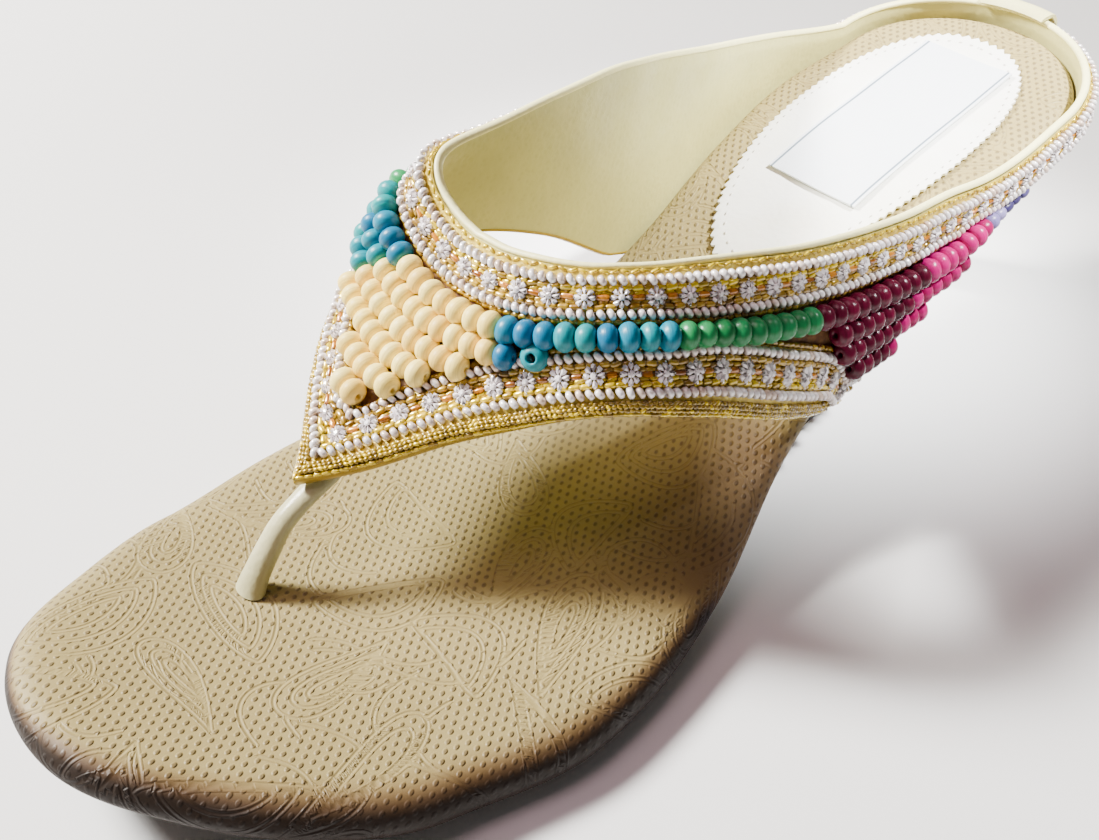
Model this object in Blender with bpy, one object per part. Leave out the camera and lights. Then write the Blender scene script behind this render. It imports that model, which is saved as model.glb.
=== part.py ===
"""Beaded high heel thong sandal, left shoe, as an assembly of separate closed solids.

The shoe is built over a last. Its footbed centre line is measured in stations: millimetres along the
line from the back of the heel (0) to the tip of the toe (FOOT_LENGTH). Widths go to the medial side
(-X, the big toe) and the lateral side (+X). The toe points to -Y, and Z is up.

The upper is a band that lies on the last's surface. A place on that surface has a station s and a
share f: 0 is the ridge of the instep, -1 the medial and +1 the lateral edge of the footbed, and past
1 it runs straight down the sole's side. Layers over the lining are offsets along the normal.
"""

import math

import bmesh
import bpy
import numpy as np

MM = 0.001
FOOT_LENGTH = 245.0

# Footbed centre line: how far the seat stands over the forefoot, and where the slope changes.
SEAT_RISE = 47.0
SEAT_SLOPE_SHARE = 0.40
SHANK_STARTS, SHANK_STEEPEST = 45.0, 100.0
BALL_STARTS, BALL_FLAT = 115.0, 172.0
TOE_SPRING_STARTS, TOE_SPRING = 175.0, 13.0

# Thicknesses and clearances.
GAP = 0.3
LAYER_GAP = 0.42
FOOTBED_THICK = 6.0
OUTSOLE_THICK = 2.2
WALL = 1.7
WOOD_BEAD = 4.3
TREAD_FLAT = 0.25

# The footbed's rolled edge, and how far the outsole's bevelled edge is drawn in under the forefoot.
FOOTBED_ROLL = (
    # inset from the outline, drop below the top
    (7.0, 0.0),
    (3.6, 0.35),
    (1.3, 1.4),
    (0.2, 2.9),
    (0.0, 4.2),
    (0.6, 5.3),
    (2.0, FOOTBED_THICK),
)
OUTSOLE_INSET, OUTSOLE_BEVEL = 2.6, 1.7

# Outline of the footbed: half widths at each station, then the toe cap's reach by angle.
HEEL_CENTRE = 26.0
HEEL_REACH = 25.3
TOE_CENTRE = 200.0
OUTLINE = (
    # station, medial, lateral
    (26, 26.5, 24.0),
    (45, 28.0, 25.0),
    (70, 25.7, 25.2),
    (95, 23.4, 26.5),
    (120, 25.7, 30.3),
    (145, 33.3, 38.5),
    (165, 39.2, 43.1),
    (180, 39.9, 43.8),
    (200, 37.7, 38.6),
)
TOE_CAP = (
    # angle from the lateral side, reach from the toe centre
    (0, 38.6),
    (30, 34.6),
    (60, 35.2),
    (90, 40.6),
    (120, 41.2),
    (150, 37.4),
    (180, 37.7),
)

# Sections of the last over the footbed. Fullness swells a side, rise lifts its shoulder.
LAST = (
    # station, height, ridge x, medial fullness, lateral fullness, medial rise
    (30, 58.0, -1.0, 0.00, 0.00, 0.00),
    (70, 58.0, -3.0, 0.25, -0.05, 0.40),
    (105, 55.0, -6.0, 0.45, -0.10, 0.60),
    (125, 52.0, -8.0, 0.50, -0.10, 0.70),
    (145, 44.0, -9.5, 0.35, -0.10, 0.60),
    (165, 30.0, -11.0, 0.15, -0.10, 0.45),
    (190, 17.5, -12.0, 0.15, -0.10, 0.30),
    (205, 14.0, -12.0, 0.10, -0.10, 0.20),
)

# The band, as lines across it from its lower or front edge to the collar.
SIDE_DROP = 90.0
SOLE_LINE = 1.066
COLLAR_BACK = 0.978
MEDIAL_BAND = (
    # lower station, lower share, collar station, collar share, share of the front trim
    (190, 0.00, 137, -0.03, 1.0),
    (184, -0.10, 136, -0.11, 1.0),
    (177, -0.24, 134, -0.20, 1.0),
    (169, -0.40, 131, -0.29, 1.0),
    (159, -0.55, 126, -0.39, 1.0),
    (148, -0.655, 120, -0.47, 1.0),
    (136, -0.72, 113, -0.54, 1.0),
    (124, -0.775, 105, -0.59, 1.0),
    (113, -0.875, 97, -0.64, 1.0),
    (104, -1.00, 89, -0.69, 1.0),
    (96, -SOLE_LINE, 81, -0.75, 0.35),
    (82, -SOLE_LINE, 70, -0.82, 0.0),
    (66, -SOLE_LINE, 57, -0.875, 0.0),
    (46, -SOLE_LINE, 42, -0.925, 0.0),
    (26, -SOLE_LINE, 26, -COLLAR_BACK, 0.0),
)
LATERAL_BAND = (
    # lower station, lower share, collar station, collar share, share of the front trim
    (190, 0.00, 137, -0.03, 1.0),
    (181, 0.09, 136, 0.07, 1.0),
    (171, 0.18, 132, 0.17, 1.0),
    (160, 0.30, 127, 0.26, 1.0),
    (150, 0.42, 121, 0.345, 1.0),
    (139, 0.55, 114, 0.44, 1.0),
    (128, 0.69, 106, 0.54, 1.0),
    (118, 0.85, 98, 0.635, 1.0),
    (109, 1.00, 91, 0.71, 1.0),
    (102, SOLE_LINE, 84, 0.775, 0.35),
    (92, SOLE_LINE, 76, 0.835, 0.0),
    (79, SOLE_LINE, 66, 0.885, 0.0),
    (64, SOLE_LINE, 55, 0.935, 0.0),
    (46, SOLE_LINE, 42, 0.963, 0.0),
    (26, SOLE_LINE, 26, COLLAR_BACK, 0.0),
)
BAND_STEPS = 27
HEEL_STEPS = 6

# The trim along each edge of the band: strips from the edge inwards.
BINDING_WIDTH = 1.5
TRIM_WIDTH = 9.2
GROUND_HEIGHT = 0.7
STRIPS = (
    # middle from the edge, half width, height over the ground
    (2.7, 0.85, 1.0),
    (5.5, 1.30, 0.6),
    (8.2, 0.85, 1.0),
)
EDGING = (0.9, 0.8, 0.7)
FIELD_LEAST = 0.8
FIELD_WANTED = 4.6

# Hidden heel, plain and slim.
HEEL_SEAT_BACK, HEEL_SEAT_BREAST = 2.5, 47.0
HEEL_INSET = 2.2
HEEL_TIP_STATION, HEEL_TIP_RADIUS = 17.0, 7.0
TOP_PIECE_THICK = 5.0

# Heel pad, blank label and toe post on the footbed.
PAD_CENTRE, PAD_BACK, PAD_FRONT = 48.0, 37.0, 47.0
PAD_X, PAD_HALF_WIDTH, PAD_THICK, PAD_GAP = -1.5, 18.5, 0.7, 0.42
LABEL_X, LABEL_HALF_WIDTH, LABEL_THICK = -0.9, 10.2, 0.4
LABEL_BACK, LABEL_FRONT = 19.0, 70.5
POST = (
    # x, station, height over the footbed, half width, half depth
    (-11.6, 200.8, 0.3, 3.4, 2.3),
    (-11.6, 199.6, 3.0, 2.9, 2.1),
    (-11.5, 197.4, 7.0, 2.7, 2.0),
    (-11.4, 194.6, 11.0, 2.7, 1.9),
    (-11.3, 190.6, 13.9, 3.0, 1.7),
    (-11.3, 185.0, 16.6, 3.6, 1.4),
    (-11.2, 179.5, 19.5, 3.8, 1.2),
)
TAB_MEDIAL, TAB_LATERAL = 6.0, 3.4


def smooth(low, high, x):
    """0 below low, 1 above high, and an even bend between."""
    t = np.clip((np.asarray(x, float) - low) / (high - low), 0, 1)
    return t * t * (3 - 2 * t)


def curve(table, column, key=0):
    """A smooth function through one column of a table, read against its key column."""
    rows = sorted(table)
    x = np.array([row[key] for row in rows], float)
    y = np.array([row[column] for row in rows], float)
    slope = np.gradient(y, x)

    def at(value):
        value = np.clip(np.asarray(value, float), x[0], x[-1])
        i = np.clip(np.searchsorted(x, value) - 1, 0, len(x) - 2)
        step = x[i + 1] - x[i]
        t = (value - x[i]) / step
        rise = t * t * (3 - 2 * t)
        left = step * slope[i] * t * (1 - t) ** 2
        right = step * slope[i + 1] * t * t * (1 - t)
        return y[i] * (1 - rise) + y[i + 1] * rise + left - right

    return at


# ---------------------------------------------------------------- the last


def centre_line():
    """Stations, and the footbed's y, z and unit tangent at each of them."""
    s = np.arange(-8, FOOT_LENGTH + 8.5, 0.5)
    inside = (s >= 0) & (s <= FOOT_LENGTH)
    fall = SEAT_SLOPE_SHARE + (1 - SEAT_SLOPE_SHARE) * smooth(SHANK_STARTS, SHANK_STEEPEST, s)
    fall *= 1 - smooth(BALL_STARTS, BALL_FLAT, s)
    lift = smooth(TOE_SPRING_STARTS, FOOT_LENGTH, s)
    dz = -SEAT_RISE * fall / (fall[inside].sum() * 0.5)
    dz += TOE_SPRING * lift / (lift[inside].sum() * 0.5)
    dy = -np.sqrt(1 - dz**2)
    start = np.argmin(abs(s))
    y, z = np.cumsum(dy) * 0.5, np.cumsum(dz) * 0.5
    return s, y - y[start], z - z[start] + SEAT_RISE, dy, dz


STATION, LINE_Y, LINE_Z, TANGENT_Y, TANGENT_Z = centre_line()
FLOOR = -FOOTBED_THICK - GAP - OUTSOLE_THICK + TREAD_FLAT

medial_width = curve(OUTLINE, 1)
lateral_width = curve(OUTLINE, 2)
toe_reach = curve(TOE_CAP, 1)
last_height = curve(LAST, 1)
ridge_x = curve(LAST, 2)
medial_fullness = curve(LAST, 3)
lateral_fullness = curve(LAST, 4)
medial_rise = curve(LAST, 5)


def place(x, s, n):
    """The point x to the side of station s and n over the footbed there."""
    x, s, n = np.broadcast_arrays(np.asarray(x, float), s, n)
    ty = np.interp(s, STATION, TANGENT_Y)
    tz = np.interp(s, STATION, TANGENT_Z)
    y = np.interp(s, STATION, LINE_Y) + n * tz
    z = np.interp(s, STATION, LINE_Z) - n * ty
    return np.stack([x, y, z], -1)


def last_base(s, f):
    """The last's surface, where the lining lies. Behind the heel centre its sections fan round."""
    s, f = np.broadcast_arrays(np.asarray(s, float), np.asarray(f, float))
    angle = np.clip(f, -1, 1) * math.pi / 2
    medial = f < 0
    ridge = ridge_x(s)
    width = np.where(medial, medial_width(s) + ridge, lateral_width(s) - ridge) + GAP
    full = np.where(medial, medial_fullness(s), lateral_fullness(s))
    rise = np.where(medial, medial_rise(s), 0.0)
    out = np.sin(angle) * (1 + full * np.cos(angle) ** 2)
    up = last_height(s) * np.cos(angle) * (1 + rise * np.sin(angle) ** 2)
    up = up - SIDE_DROP * np.clip(np.abs(f) - 1, 0, None)
    turn = np.clip((HEEL_CENTRE - s) / HEEL_CENTRE, 0, 1) * math.pi / 2
    back = (HEEL_REACH + GAP) * np.abs(out) * np.sin(turn)
    station = np.where(s < HEEL_CENTRE, HEEL_CENTRE - back, s)
    return place((ridge + width * out) * np.cos(turn), station, up)


def last_surface(s, f, off=0.0):
    """A point off the last's surface by off, along the outward normal."""
    s, f, off = np.broadcast_arrays(np.asarray(s, float), f, off)
    along = last_base(s - 0.5, f) - last_base(s + 0.5, f)
    across = last_base(s, f + 0.004) - last_base(s, f - 0.004)
    normal = np.cross(across, along)
    normal /= np.linalg.norm(normal, axis=-1, keepdims=True)
    return last_base(s, f) + off[..., None] * normal


# ---------------------------------------------------------------- meshes


def make_object(name, mesh_data, colour, roughness, metallic=0.0):
    """A node from a bmesh in millimetres, with its own material."""
    bmesh.ops.remove_doubles(mesh_data, verts=mesh_data.verts, dist=1e-3)
    bmesh.ops.dissolve_degenerate(mesh_data, edges=mesh_data.edges, dist=1e-4)
    bmesh.ops.recalc_face_normals(mesh_data, faces=mesh_data.faces)
    bmesh.ops.scale(mesh_data, vec=(MM, MM, MM), verts=mesh_data.verts)
    mesh = bpy.data.meshes.new(name)
    mesh_data.to_mesh(mesh)
    mesh_data.free()
    mesh.shade_smooth()
    mesh.set_sharp_from_angle(angle=math.radians(40))
    material = bpy.data.materials.new(name)
    material.use_nodes = True
    shader = material.node_tree.nodes["Principled BSDF"]
    shader.inputs["Base Color"].default_value = (*colour, 1.0)
    shader.inputs["Roughness"].default_value = roughness
    shader.inputs["Metallic"].default_value = metallic
    mesh.materials.append(material)
    node = bpy.data.objects.new(name, mesh)
    collection.objects.link(node)
    node.parent = root
    return node


def loft(rings, ends="caps"):
    """Closed rings joined one to the next, with caps, as a loop, or meeting in a point at each end."""
    data = bmesh.new()
    verts = [[data.verts.new(p) for p in ring] for ring in rings]
    nexts = verts[1:] + verts[:1] if ends == "loop" else verts[1:]
    for near, far in zip(verts, nexts):
        for j in range(len(near)):
            k = (j + 1) % len(near)
            data.faces.new((near[j], near[k], far[k], far[j]))
    if ends == "caps":
        data.faces.new(verts[0])
        data.faces.new(verts[-1])
    return data


# ---------------------------------------------------------------- the sole


def outline_stations(body_steps=21, toe_steps=9):
    """Round the outline from the back of the heel: station of the anchor, offsets of the edge."""
    points = []
    for side in (-1, 1):
        width = medial_width if side < 0 else lateral_width
        half = []
        for i in range(HEEL_STEPS):
            turn = math.pi / 2 * (1 - i / HEEL_STEPS)
            edge = side * width(HEEL_CENTRE) * math.cos(turn)
            half.append((HEEL_CENTRE, edge, -HEEL_REACH * math.sin(turn)))
        for s in np.linspace(HEEL_CENTRE, TOE_CENTRE, body_steps):
            half.append((s, side * float(width(s)), 0.0))
        for i in range(1, toe_steps + (side < 0)):
            turn = 90 * i / toe_steps
            reach = toe_reach(turn if side > 0 else 180 - turn)
            turn = math.radians(turn)
            half.append((TOE_CENTRE, side * reach * math.cos(turn), reach * math.sin(turn)))
        points.append(half)
    medial, lateral = points
    return np.array(medial + lateral[:0:-1], float)


def sole_ring(outline, inset, n, share=None):
    """One ring of a sole layer: the outline drawn in by inset, or scaled to a share, at height n."""
    anchor, x, ahead = outline.T
    reach = np.hypot(x, ahead)
    scale = 1 - np.asarray(inset) / reach if share is None else share
    return place(x * scale, anchor + ahead * scale, n)


def dish(anchor, share):
    """The footbed's top: cupped under the heel and softly domed under the toes."""
    depth = -1.2 + 2.0 * smooth(60, 150, anchor)
    return depth * (1 - np.asarray(share) ** 2)


def footbed_top(x, s):
    """Height of the footbed's dished top beside the centre line at station s."""
    side = np.where(x < 0, medial_width(s), lateral_width(s))
    behind = np.clip(HEEL_CENTRE - s, 0, None) / HEEL_REACH
    return dish(s, np.hypot(x / side, behind))


def footbed():
    outline = outline_stations()
    anchor = outline[:, 0]
    reach = np.hypot(outline[:, 1], outline[:, 2])
    rings = []
    for share in (0.0, 0.35, 0.65):
        rings.append(sole_ring(outline, None, dish(anchor, share), share))
    for inset, drop in FOOTBED_ROLL:
        top = dish(anchor, 1 - inset / reach) if drop < 3 else 0.0
        rings.append(sole_ring(outline, inset, top - drop))
    rings.append(sole_ring(outline, None, -FOOTBED_THICK, 0.0))
    data = loft(rings, "points")
    return make_object("footbed", data, (0.60, 0.46, 0.29), 0.55)


def outsole_margin(s):
    """How far the outsole's edge lies inside the footbed's: it carries the band's wall at the back."""
    return OUTSOLE_INSET - (OUTSOLE_INSET + GAP + WALL) * (1 - smooth(98, 118, s))


def outsole():
    outline = outline_stations()
    margin = outsole_margin(outline[:, 0])
    bevel = 0.6 + (OUTSOLE_BEVEL - 0.6) * smooth(98, 118, outline[:, 0])
    top = -FOOTBED_THICK - GAP
    bottom = top - OUTSOLE_THICK
    rings = [sole_ring(outline, None, top, 0.0)]
    rings.append(sole_ring(outline, margin + 0.3, top))
    rings.append(sole_ring(outline, margin, top - 0.4))
    rings.append(sole_ring(outline, margin + bevel, bottom))
    for share in (0.7, 0.35, 0.0):
        rings.append(sole_ring(outline, None, bottom, share))
    rings = [np.column_stack([r[:, :2], np.maximum(r[:, 2], FLOOR)]) for r in rings]
    return make_object("outsole", loft(rings, "points"), (0.10, 0.06, 0.04), 0.6)


def heel_rings():
    """Rings of the heel from its seat against the outsole down to the top piece."""
    seat_n = -FOOTBED_THICK - OUTSOLE_THICK - 2 * GAP
    around = np.linspace(0, 2 * math.pi, 33)[:-1]
    middle = (HEEL_SEAT_BACK + HEEL_SEAT_BREAST) / 2
    half_length = (HEEL_SEAT_BREAST - HEEL_SEAT_BACK) / 2
    station = middle - half_length * np.cos(around) * (1 - 0.06 * np.sin(around) ** 2)
    half_width = (float(medial_width(HEEL_CENTRE)) + float(lateral_width(HEEL_CENTRE))) / 2 - HEEL_INSET
    side = np.abs(np.sin(around)) ** 0.8 * np.sign(np.sin(around)) * half_width - 1.2
    seat = place(side, station, seat_n)
    centre = place(-1.2, middle, seat_n)
    tip_y = -HEEL_TIP_STATION
    tip = np.stack([-1.2 + HEEL_TIP_RADIUS * np.sin(around), tip_y + HEEL_TIP_RADIUS * 1.1 * np.cos(around)], -1)
    tip_z = FLOOR + TOP_PIECE_THICK + GAP
    rings = [place(-1.2 + (side + 1.2) * k, middle + (station - middle) * k, seat_n) for k in (0.0, 0.5)]
    for t in (0.0, 0.04, 0.12, 0.22, 0.36, 0.54, 0.76, 1.0):
        narrow = 1 - (1 - t) ** 2.6
        plan = seat[:, :2] * (1 - narrow) + tip * narrow
        z = seat[:, 2] * (1 - t) + tip_z * t
        rings.append(np.column_stack([plan, z]))
    bottom = rings[-1]
    rings.append(bottom * [0, 0, 1] + [-1.2, tip_y, 0])
    return rings, bottom, centre


def heel():
    rings, _, _ = heel_rings()
    return make_object("heel", loft(rings, "points"), (0.55, 0.42, 0.27), 0.5)


def top_piece():
    _, bottom, _ = heel_rings()
    middle = bottom.mean(axis=0) * [1, 1, 0]
    plan = bottom * [1, 1, 0] - middle
    rings = []
    for scale, z in ((1.0, FLOOR + TOP_PIECE_THICK), (1.02, FLOOR + 1.0), (0.97, FLOOR)):
        rings.append(middle + plan * scale + [0, 0, z])
    return make_object("top_piece", loft(rings), (0.03, 0.03, 0.03), 0.7)


# ---------------------------------------------------------------- the upper


def band_lines(half):
    """Lines across one half of the band, from the front centre to the back of the heel."""
    table = tuple((i, *row) for i, row in enumerate(half))
    at = np.linspace(0, len(table) - 1, BAND_STEPS)
    front = np.stack([curve(table, column)(at) for column in range(1, 6)], -1)
    front[:, 1] = np.clip(front[:, 1], -SOLE_LINE, SOLE_LINE)
    heel_line = np.array(half[-1], float)
    turns = [1 - i / HEEL_STEPS for i in range(1, HEEL_STEPS + 1)]
    heel_part = np.array([heel_line * [turn, 1, turn, 1, 1] for turn in turns])
    return np.concatenate([front, heel_part])


def band_loop():
    """Lines all the way round the band: back, lateral side, front centre, medial side."""
    lateral = band_lines(LATERAL_BAND)
    medial = band_lines(MEDIAL_BAND)
    return np.concatenate([lateral[::-1], medial[1:-1]])


def line_points(line, v, off):
    """Points of a line across the band, at shares v from the lower edge to the collar."""
    s = line[0] + (line[2] - line[0]) * v
    f = line[1] + (line[3] - line[1]) * v
    return last_surface(s, f, off)


def distance_to(points, edge):
    """Distance of each point from a closed polyline."""
    start, step = edge, np.roll(edge, -1, axis=0) - edge
    away = points[..., None, :] - start
    t = np.clip((away * step).sum(-1) / (step * step).sum(-1), 0, 1)
    return np.linalg.norm(away - t[..., None] * step, axis=-1).min(axis=-1)


class Band:
    """The band's lines, and how far each place on them is from the lower edge and from the collar."""

    def __init__(self):
        self.lines = band_loop()
        self.v = np.linspace(0, 1, 49)
        points = np.array([line_points(line, self.v, WALL + 1) for line in self.lines])
        self.from_low = np.maximum.accumulate(distance_to(points, points[:, 0]), axis=1)
        from_collar = distance_to(points, points[:, -1])[:, ::-1]
        self.from_collar = np.maximum.accumulate(from_collar, axis=1)
        self.width = (self.from_low + self.from_collar[:, ::-1]).min(axis=1)
        free = np.clip(self.lines[:, 4], 0, 1)
        wanted = TRIM_WIDTH * (1 + free) + 2 * GAP
        self.fit = np.clip((self.width - FIELD_WANTED) / wanted, 0.78, 1)

    def front_v(self, i, distance):
        """Shares of line i at distances from the lower or front edge."""
        return np.interp(distance, self.from_low[i], self.v)

    def collar_v(self, i, distance):
        """Shares of line i at distances from the collar."""
        return 1 - np.interp(distance, self.from_collar[i], self.v)

    def section(self, i, v, heights, base_points=5):
        """A closed section over the wall on line i: the top at v and heights, and a plain underside."""
        low = WALL + LAYER_GAP
        under = np.linspace(v[-1], v[0], base_points)
        top = line_points(self.lines[i], v, low + np.asarray(heights))
        return np.concatenate([top, line_points(self.lines[i], under, low)])


def upper():
    rings = []
    for i, line in enumerate(band.lines):
        v = np.linspace(0, band.collar_v(i, BINDING_WIDTH + GAP), 11)
        outer = line_points(line, v, WALL)
        inner = line_points(line, v, 0.0)
        rings.append(np.concatenate([outer, inner[::-1]]))
    return make_object("upper", loft(rings, "loop"), (0.80, 0.76, 0.60), 0.5)


def collar_binding():
    """The rolled leather edge along the collar, resting on the wall's edge."""
    around = np.linspace(0, 2 * math.pi, 9)[:-1]
    rings = []
    for i, line in enumerate(band.lines):
        v = band.collar_v(i, BINDING_WIDTH / 2 * (1 - np.cos(around)))
        rings.append(line_points(line, v, WALL / 2 + (WALL / 2 + 0.35) * np.sin(around)))
    return make_object("collar_binding", loft(rings, "loop"), (0.86, 0.82, 0.66), 0.45)


def strip_profile(strips, start, end, fit):
    """Distances from the edge and heights of raised strips on a ground from start to end."""
    where, heights = [start], [GROUND_HEIGHT]
    for middle, half, rise in strips:
        where += [middle - half, middle, middle + half]
        heights += [GROUND_HEIGHT, GROUND_HEIGHT + rise, GROUND_HEIGHT]
    where.append(end)
    heights.append(GROUND_HEIGHT)
    return np.maximum(np.array(where) * fit, start), np.array(heights)


def collar_trim():
    """Beaded strips beside the binding: seed beads, a ground for the stones, seed beads."""
    rings = []
    for i in range(len(band.lines)):
        start = BINDING_WIDTH + GAP
        where, heights = strip_profile(STRIPS, start, TRIM_WIDTH, band.fit[i])
        widest = band.width[i] - 0.2
        where = np.minimum(where, start + (where - start) * (widest - start) / (where[-1] - start))
        v = band.collar_v(i, where)
        rings.append(band.section(i, v[::-1], heights[::-1]))
    return make_object("collar_trim", loft(rings, "loop"), (0.75, 0.65, 0.40), 0.3, 0.4)


def front_trim():
    """The same strips and a gold edging along the free edge. The sole cuts them off at both sides."""
    rings = []
    for i, line in enumerate(band.lines):
        share = min(line[4], 1)
        if share < 0.15:
            continue
        where, heights = strip_profile((EDGING,) + STRIPS, 0.0, TRIM_WIDTH, band.fit[i])
        where = where - where[-1] * (1 - share)
        heights = np.where(where > 0, heights, GROUND_HEIGHT)
        rings.append(band.section(i, band.front_v(i, np.maximum(where, 0)), heights))
    return make_object("front_trim", loft(rings), (0.75, 0.65, 0.40), 0.3, 0.4)


def bead_field():
    """The wood beads' bed between the two trims, which runs down the sole's side at both sides."""
    rings = []
    for i, line in enumerate(band.lines):
        width = TRIM_WIDTH * band.fit[i] + GAP
        low = band.front_v(i, TRIM_WIDTH * band.fit[i] * np.clip(line[4], 0, 1) + GAP)
        high = band.collar_v(i, width)
        room = band.width[i] - band.fit[i] * TRIM_WIDTH * (1 + np.clip(line[4], 0, 1)) - 2 * GAP
        if room < FIELD_LEAST:
            continue
        v = low + (high - low) * np.array([0, 0.08, 0.25, 0.5, 0.75, 0.92, 1])
        heights = min(WOOD_BEAD, room * 0.9) * np.array([0.35, 0.75, 0.97, 1, 0.97, 0.75, 0.35])
        rings.append(band.section(i, v, heights, base_points=4))
    return make_object("bead_field", loft(rings), (0.55, 0.38, 0.25), 0.35)


def back_tab():
    """The small tab over the binding's joint behind the heel."""
    outer = [(4.2, WALL + 2.6), (2.0, WALL + 2.8), (-0.9, WALL + 1.3), (-1.2, 0.9), (-0.6, -0.9)]
    inner = [(-0.3, -0.75), (-0.35, 0.9), (-0.3, WALL + 0.85), (1.9, WALL + 2.35), (4.2, WALL + 2.3)]
    distance, off = np.array(outer + inner).T
    rings = []
    for station in np.linspace(-TAB_MEDIAL, TAB_LATERAL, 6):
        side = -1 if station < 0 else 1
        line = np.array([abs(station), side * SOLE_LINE, abs(station), side * COLLAR_BACK])
        rings.append(line_points(line, 1 - distance / band.width[0], off))
    return make_object("back_tab", loft(rings), (0.86, 0.82, 0.66), 0.45)


# ---------------------------------------------------------------- on the footbed


def disc_on_footbed(name, x, station, centre, thick, base, colour, roughness):
    """A thin closed sheet that follows the footbed's top, from its outline and centre."""
    rings = []
    for level in (base, base + thick):
        for share in (0.0, 0.4, 0.75, 1.0):
            px = centre[0] + (x - centre[0]) * share
            ps = centre[1] + (station - centre[1]) * share
            rings.append(place(px, ps, level + footbed_top(px, ps)))
    lower, upper_rings = rings[:4], rings[4:]
    return make_object(name, loft(lower + upper_rings[::-1], "points"), colour, roughness)


def heel_pad():
    around = np.linspace(0, 2 * math.pi, 41)[:-1]
    back = np.cos(around) > 0
    power = np.where(back, 2 / 2.4, 2 / 1.95)
    reach = np.where(back, -PAD_BACK, PAD_FRONT)
    station = PAD_CENTRE + reach * np.abs(np.cos(around)) ** power
    x = PAD_X + PAD_HALF_WIDTH * np.sign(np.sin(around)) * np.abs(np.sin(around)) ** power
    colour = (0.86, 0.83, 0.70)
    return disc_on_footbed("heel_pad", x, station, (PAD_X, PAD_CENTRE), PAD_THICK, PAD_GAP, colour, 0.5)


def label():
    """The blank woven label on the heel pad."""
    middle = (LABEL_BACK + LABEL_FRONT) / 2
    half = (LABEL_FRONT - LABEL_BACK) / 2
    along = np.array([-1, -0.5, 0, 0.5, 1, 1, 0.5, 0, -0.5, -1])
    across = np.array([-1] * 5 + [1] * 5)
    x = LABEL_X + LABEL_HALF_WIDTH * across
    station = middle + half * along
    base = 2 * PAD_GAP + PAD_THICK
    colour = (0.90, 0.90, 0.86)
    return disc_on_footbed("label", x, station, (LABEL_X, middle), LABEL_THICK, base, colour, 0.4)


def toe_post():
    around = np.linspace(0, 2 * math.pi, 13)[:-1]
    wide, deep = np.cos(around), np.sin(around)
    x, station, height, half_width, half_depth = np.array(POST).T
    spine = place(x, station, height + footbed_top(x, station))
    tangent = np.gradient(spine, axis=0)
    tangent /= np.linalg.norm(tangent, axis=1, keepdims=True)
    side = np.array([1.0, 0.0, 0.0])
    foot_x = x[0] + wide * half_width[0]
    foot_station = station[0] + deep * half_depth[0]
    rings = [place(foot_x, foot_station, height[0] + footbed_top(foot_x, foot_station))]
    for i in range(1, len(spine)):
        front = np.cross(side, tangent[i])
        rings.append(spine[i] + np.outer(wide * half_width[i], side) + np.outer(deep * half_depth[i], front))
    return make_object("toe_post", loft(rings), (0.86, 0.82, 0.66), 0.45)


# ---------------------------------------------------------------- assembly

for old in list(bpy.data.objects):
    bpy.data.objects.remove(old, do_unlink=True)
collection = bpy.data.collections.new("high_heel_sandal")
bpy.context.scene.collection.children.link(collection)
root = bpy.data.objects.new("sandal_frame", None)
collection.objects.link(root)

band = Band()
outsole()
footbed()
heel()
top_piece()
upper()
collar_binding()
collar_trim()
front_trim()
bead_field()
back_tab()
heel_pad()
label()
toe_post()

corners = np.array([v.co for node in collection.objects if node.type == "MESH" for v in node.data.vertices])
low, high = corners.min(axis=0), corners.max(axis=0)
root.location = (-(low[0] + high[0]) / 2, -(low[1] + high[1]) / 2, -low[2])
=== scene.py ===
"""Looks of the beaded high heel thong sandal: beads, stones, leather, embossed footbed, light, camera.

Shapes are worked out in millimetres on the same last as the CAD model: stations run along the footbed
from the back of the heel, shares go round the last from its ridge to the edge of the footbed (1), and
offsets are along the normal. The last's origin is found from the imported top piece.
"""

import math

import bpy
import numpy as np
from mathutils import Matrix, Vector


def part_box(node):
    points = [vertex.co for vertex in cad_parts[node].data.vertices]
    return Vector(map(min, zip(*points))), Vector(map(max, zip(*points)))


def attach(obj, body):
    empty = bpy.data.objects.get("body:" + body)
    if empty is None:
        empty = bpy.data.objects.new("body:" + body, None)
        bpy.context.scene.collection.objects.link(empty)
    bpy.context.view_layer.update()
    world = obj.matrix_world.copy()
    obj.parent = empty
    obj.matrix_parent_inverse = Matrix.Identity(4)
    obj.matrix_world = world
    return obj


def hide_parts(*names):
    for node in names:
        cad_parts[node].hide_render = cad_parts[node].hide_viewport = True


# ---- sizes, the CAD model's own

MM = 0.001
FOOT_LENGTH = 245.0
SEAT_RISE, SEAT_SLOPE_SHARE = 47.0, 0.40
SHANK_STARTS, SHANK_STEEPEST = 45.0, 100.0
BALL_STARTS, BALL_FLAT = 115.0, 172.0
TOE_SPRING_STARTS, TOE_SPRING = 175.0, 13.0
GAP, LAYER_GAP = 0.3, 0.42
FOOTBED_THICK, OUTSOLE_THICK = 6.0, 2.2
WALL = 1.7
TREAD_FLAT = 0.25
HEEL_CENTRE, HEEL_REACH, TOE_CENTRE = 26.0, 25.3, 200.0
FLOOR = -FOOTBED_THICK - GAP - OUTSOLE_THICK + TREAD_FLAT

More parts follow.
